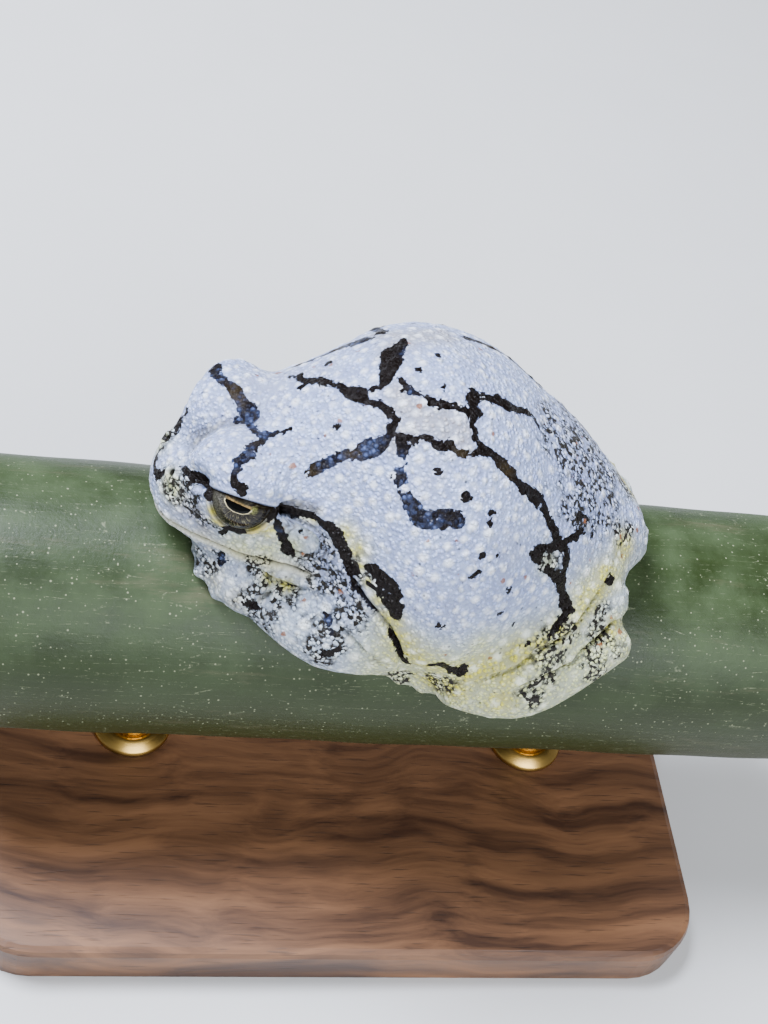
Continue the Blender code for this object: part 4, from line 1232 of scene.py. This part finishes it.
PUPIL = (238, 505)
PUPIL_HALF_LENGTH = 1.16
PUPIL_RISE = 0.13
PUPIL_DROP = 0.64
PUPIL_EDGE = 0.02
PUPIL_TILT = 7.0
LID_SHADE = 0.34
IRIS_RADIUS = 2.6
CORNEA_BULGE = 0.12
IRIS_SILVER = "#57544a"
IRIS_SLATE = "#1a1713"
IRIS_SPOKE = "#7c7659"
IRIS_BROWN = "#120d09"
IRIS_GREEN = "#9a9c57"
PUPIL_CREAM = "#ddcfa2"
STREAK_GOLD = "#9a7c4c"
PUPIL_BLACK = "#040404"
GREEN_SPOT = (-1.36, 0.0, 0.0)

# Eye: clear, wet cornea, so a hard clear coat; below it fine silver and cream pigment 0.1 mm wide on dark
# brown, in spokes away from the pupil.
eye_finish, tree = new_material("wet_cornea_over_iris")
face = add(tree, "Attribute", attribute_name="face")["Vector"]
across = add(tree, "SeparateXYZ", (face,))
front, up = across[0], across[1]
over = add(tree, "Math", (up, 0.0), operation="MAXIMUM")[0]
under = add(tree, "Math", (up, 0.0), operation="MINIMUM")[0]
over = add(tree, "Math", (over, 1 / PUPIL_RISE), operation="MULTIPLY")[0]
tall = add(tree, "Math", (under, 1 / PUPIL_DROP, over), operation="MULTIPLY_ADD")[0]
wide = add(tree, "Math", (front, 1 / PUPIL_HALF_LENGTH), operation="MULTIPLY")[0]
oval = add(tree, "CombineXYZ", (wide, tall))[0]
from_pupil = add(tree, "VectorMath", (oval,), operation="LENGTH")["Value"]
ripple = add(tree, "TexNoise", {"Vector": face, "Scale": 4.0, "Detail": 3.0})[0]
ripple = add(tree, "MapRange", {0: ripple, 3: -0.07, 4: 0.07})[0]
from_pupil = add(tree, "Math", (from_pupil, ripple), operation="ADD")[0]
flat = add(tree, "CombineXYZ", (front, up))[0]
from_axis = add(tree, "VectorMath", (flat,), operation="LENGTH")["Value"]
angle = add(tree, "Math", (front, up), operation="ARCTAN2")[0]
angle = add(tree, "Math", (angle, 6.0), operation="MULTIPLY")[0]
spoke_place = add(tree, "CombineXYZ", (angle, from_axis))[0]
spoke = add(tree, "TexNoise", {"Vector": spoke_place, "Scale": 2.2, "Detail": 4.0, "Roughness": 0.6})[0]
spoke = add(tree, "MapRange", (spoke, 0.50, 0.68, 0.0, 0.75))[0]
flake = add(tree, "TexNoise", {"Vector": face, "Scale": 7.0, "Detail": 4.0, "Roughness": 0.7})[0]
flecked = add(tree, "MapRange", (flake, 0.36, 0.60))[0]
spokes = add(tree, "MixRGB", (spoke, linear(IRIS_BROWN), linear(IRIS_SPOKE)))[0]
silver = add(tree, "MixRGB", (flecked, linear(IRIS_SLATE), linear(IRIS_SILVER)))[0]
silver_part = add(tree, "MapRange", (front, 0.4, 1.5, 0.0, 0.85))[0]
iris = add(tree, "MixRGB", (silver_part, spokes, silver))[0]
to_green = add(tree, "VectorMath", (flat, GREEN_SPOT), operation="DISTANCE")["Value"]
green = add(tree, "MapRange", (to_green, 0.16, 0.44, 0.80, 0.0))[0]
green = add(tree, "Math", (green, flecked), operation="MULTIPLY")[0]
iris = add(tree, "MixRGB", (green, iris, linear(IRIS_GREEN)))[0]
behind = add(tree, "MapRange", (front, -1.1, -1.8, 0.0, 0.8))[0]
below_lid = add(tree, "Attribute", attribute_name="below_lid")["Fac"]
# Painted shadow of the upper lid: the iris is darkened in a band just below the lid's edge.
shaded = add(tree, "MapRange", (below_lid, 0.12, LID_SHADE, 0.95, 0.0))[0]
edge = add(tree, "MapRange", (from_axis, IRIS_RADIUS - 0.5, IRIS_RADIUS, 0.0, 0.9))[0]
dark = add(tree, "Math", (behind, shaded), operation="MAXIMUM")[0]
dark = add(tree, "Math", (dark, edge), operation="MAXIMUM")[0]
iris = add(tree, "MixRGB", (dark, iris, linear(IRIS_BROWN)))[0]
is_over = add(tree, "MapRange", (up, 0.02, 0.10))[0]
is_middle = add(tree, "MapRange", (from_axis, 1.0, 1.25, 1.0, 0.0))[0]
is_streak = add(tree, "MapRange", (up, PUPIL_RISE + 0.10, PUPIL_RISE + 0.17, 0.85, 0.0))[0]
streak = add(tree, "Math", (is_over, is_streak), operation="MULTIPLY")[0]
streak = add(tree, "Math", (streak, is_middle), operation="MULTIPLY")[0]
streak = add(tree, "Math", (streak, flecked), operation="MULTIPLY")[0]
iris = add(tree, "MixRGB", (streak, iris, linear(STREAK_GOLD)))[0]
cream_edge = add(tree, "MapRange", (from_pupil, 1.0 + PUPIL_EDGE, 1.06 + PUPIL_EDGE, 0.95, 0.0))[0]
is_under = add(tree, "MapRange", (up, 0.06, -0.04))[0]
cream_edge = add(tree, "Math", (cream_edge, is_under), operation="MULTIPLY")[0]
iris = add(tree, "MixRGB", (cream_edge, iris, linear(PUPIL_CREAM)))[0]
pupil = add(tree, "MapRange", (from_pupil, 0.97, 1.0, 1.0, 0.0))[0]
eye_colour = add(tree, "MixRGB", (pupil, iris, linear(PUPIL_BLACK)))[0]
film = add(tree, "MapRange", (below_lid, 0.45, 0.80, 0.06, 0.65))[0]
finish_material(tree, {
    "Base Color": eye_colour,
    "Roughness": 0.40,
    "Specular IOR Level": 0.0,
    "Coat Weight": film,
    "Coat Roughness": 0.03,
    "Coat IOR": 1.38,
})

centre, gaze, corners, face_up = eye_frame(-1)
way = sight_line(*PUPIL)
nearer = (centre - view_point).dot(way)
off_line = (view_point + way * nearer - centre).length
on_ball = view_point + way * (nearer - math.sqrt(EYE_RADIUS ** 2 - off_line ** 2)) - centre
pupil_way = Vector([on_ball.dot(line) for line in (gaze, corners, face_up)]).normalized()

for side, side_name in SIDES:
    centre, gaze, corners, face_up = eye_frame(side)
    axis = (gaze * pupil_way[0] + corners * pupil_way[1] + face_up * pupil_way[2]).normalized()
    level = (corners - axis * corners.dot(axis)).normalized()
    rise = axis.cross(level) * side
    tilt = math.radians(PUPIL_TILT)
    level, rise = (
        level * math.cos(tilt) + rise * math.sin(tilt),
        rise * math.cos(tilt) - level * math.sin(tilt),
    )
    bm = bmesh.new()
    bmesh.ops.create_uvsphere(bm, u_segments=96, v_segments=64, radius=EYE_RADIUS)
    faces_at = []
    heights = []
    for vert in bm.verts:
        x, y, z = vert.co
        faces_at.append((x, y, z))
        way = level * x + rise * y + axis * z
        heights.append(math.degrees(math.atan2(way.dot(face_up), way.dot(gaze))))
        angle = math.degrees(math.acos(max(-1, min(1, z / EYE_RADIUS))))
        bulge = CORNEA_BULGE * float(1 - smooth_step(10, 52, angle)) - 0.02
        vert.co = centre + (level * x + rise * y + axis * z) * (1 + bulge / EYE_RADIUS)
    bm.normal_update()
    bmesh.ops.recalc_face_normals(bm, faces=bm.faces)
    eye = place_piece(side_name + "_eyeball", bm, eye_finish, MM)
    stored = eye.data.attributes.new("face", "FLOAT_VECTOR", "POINT")
    stored.data.foreach_set("vector", np.array(faces_at, np.float32).ravel())
    stored = eye.data.attributes.new("below_lid", "FLOAT", "POINT")
    stored.data.foreach_set("value", np.radians(EYE_UPPER_EDGE - np.array(heights)) * EYE_RADIUS)
    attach(eye, "root")
    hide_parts(side_name + "_eye")
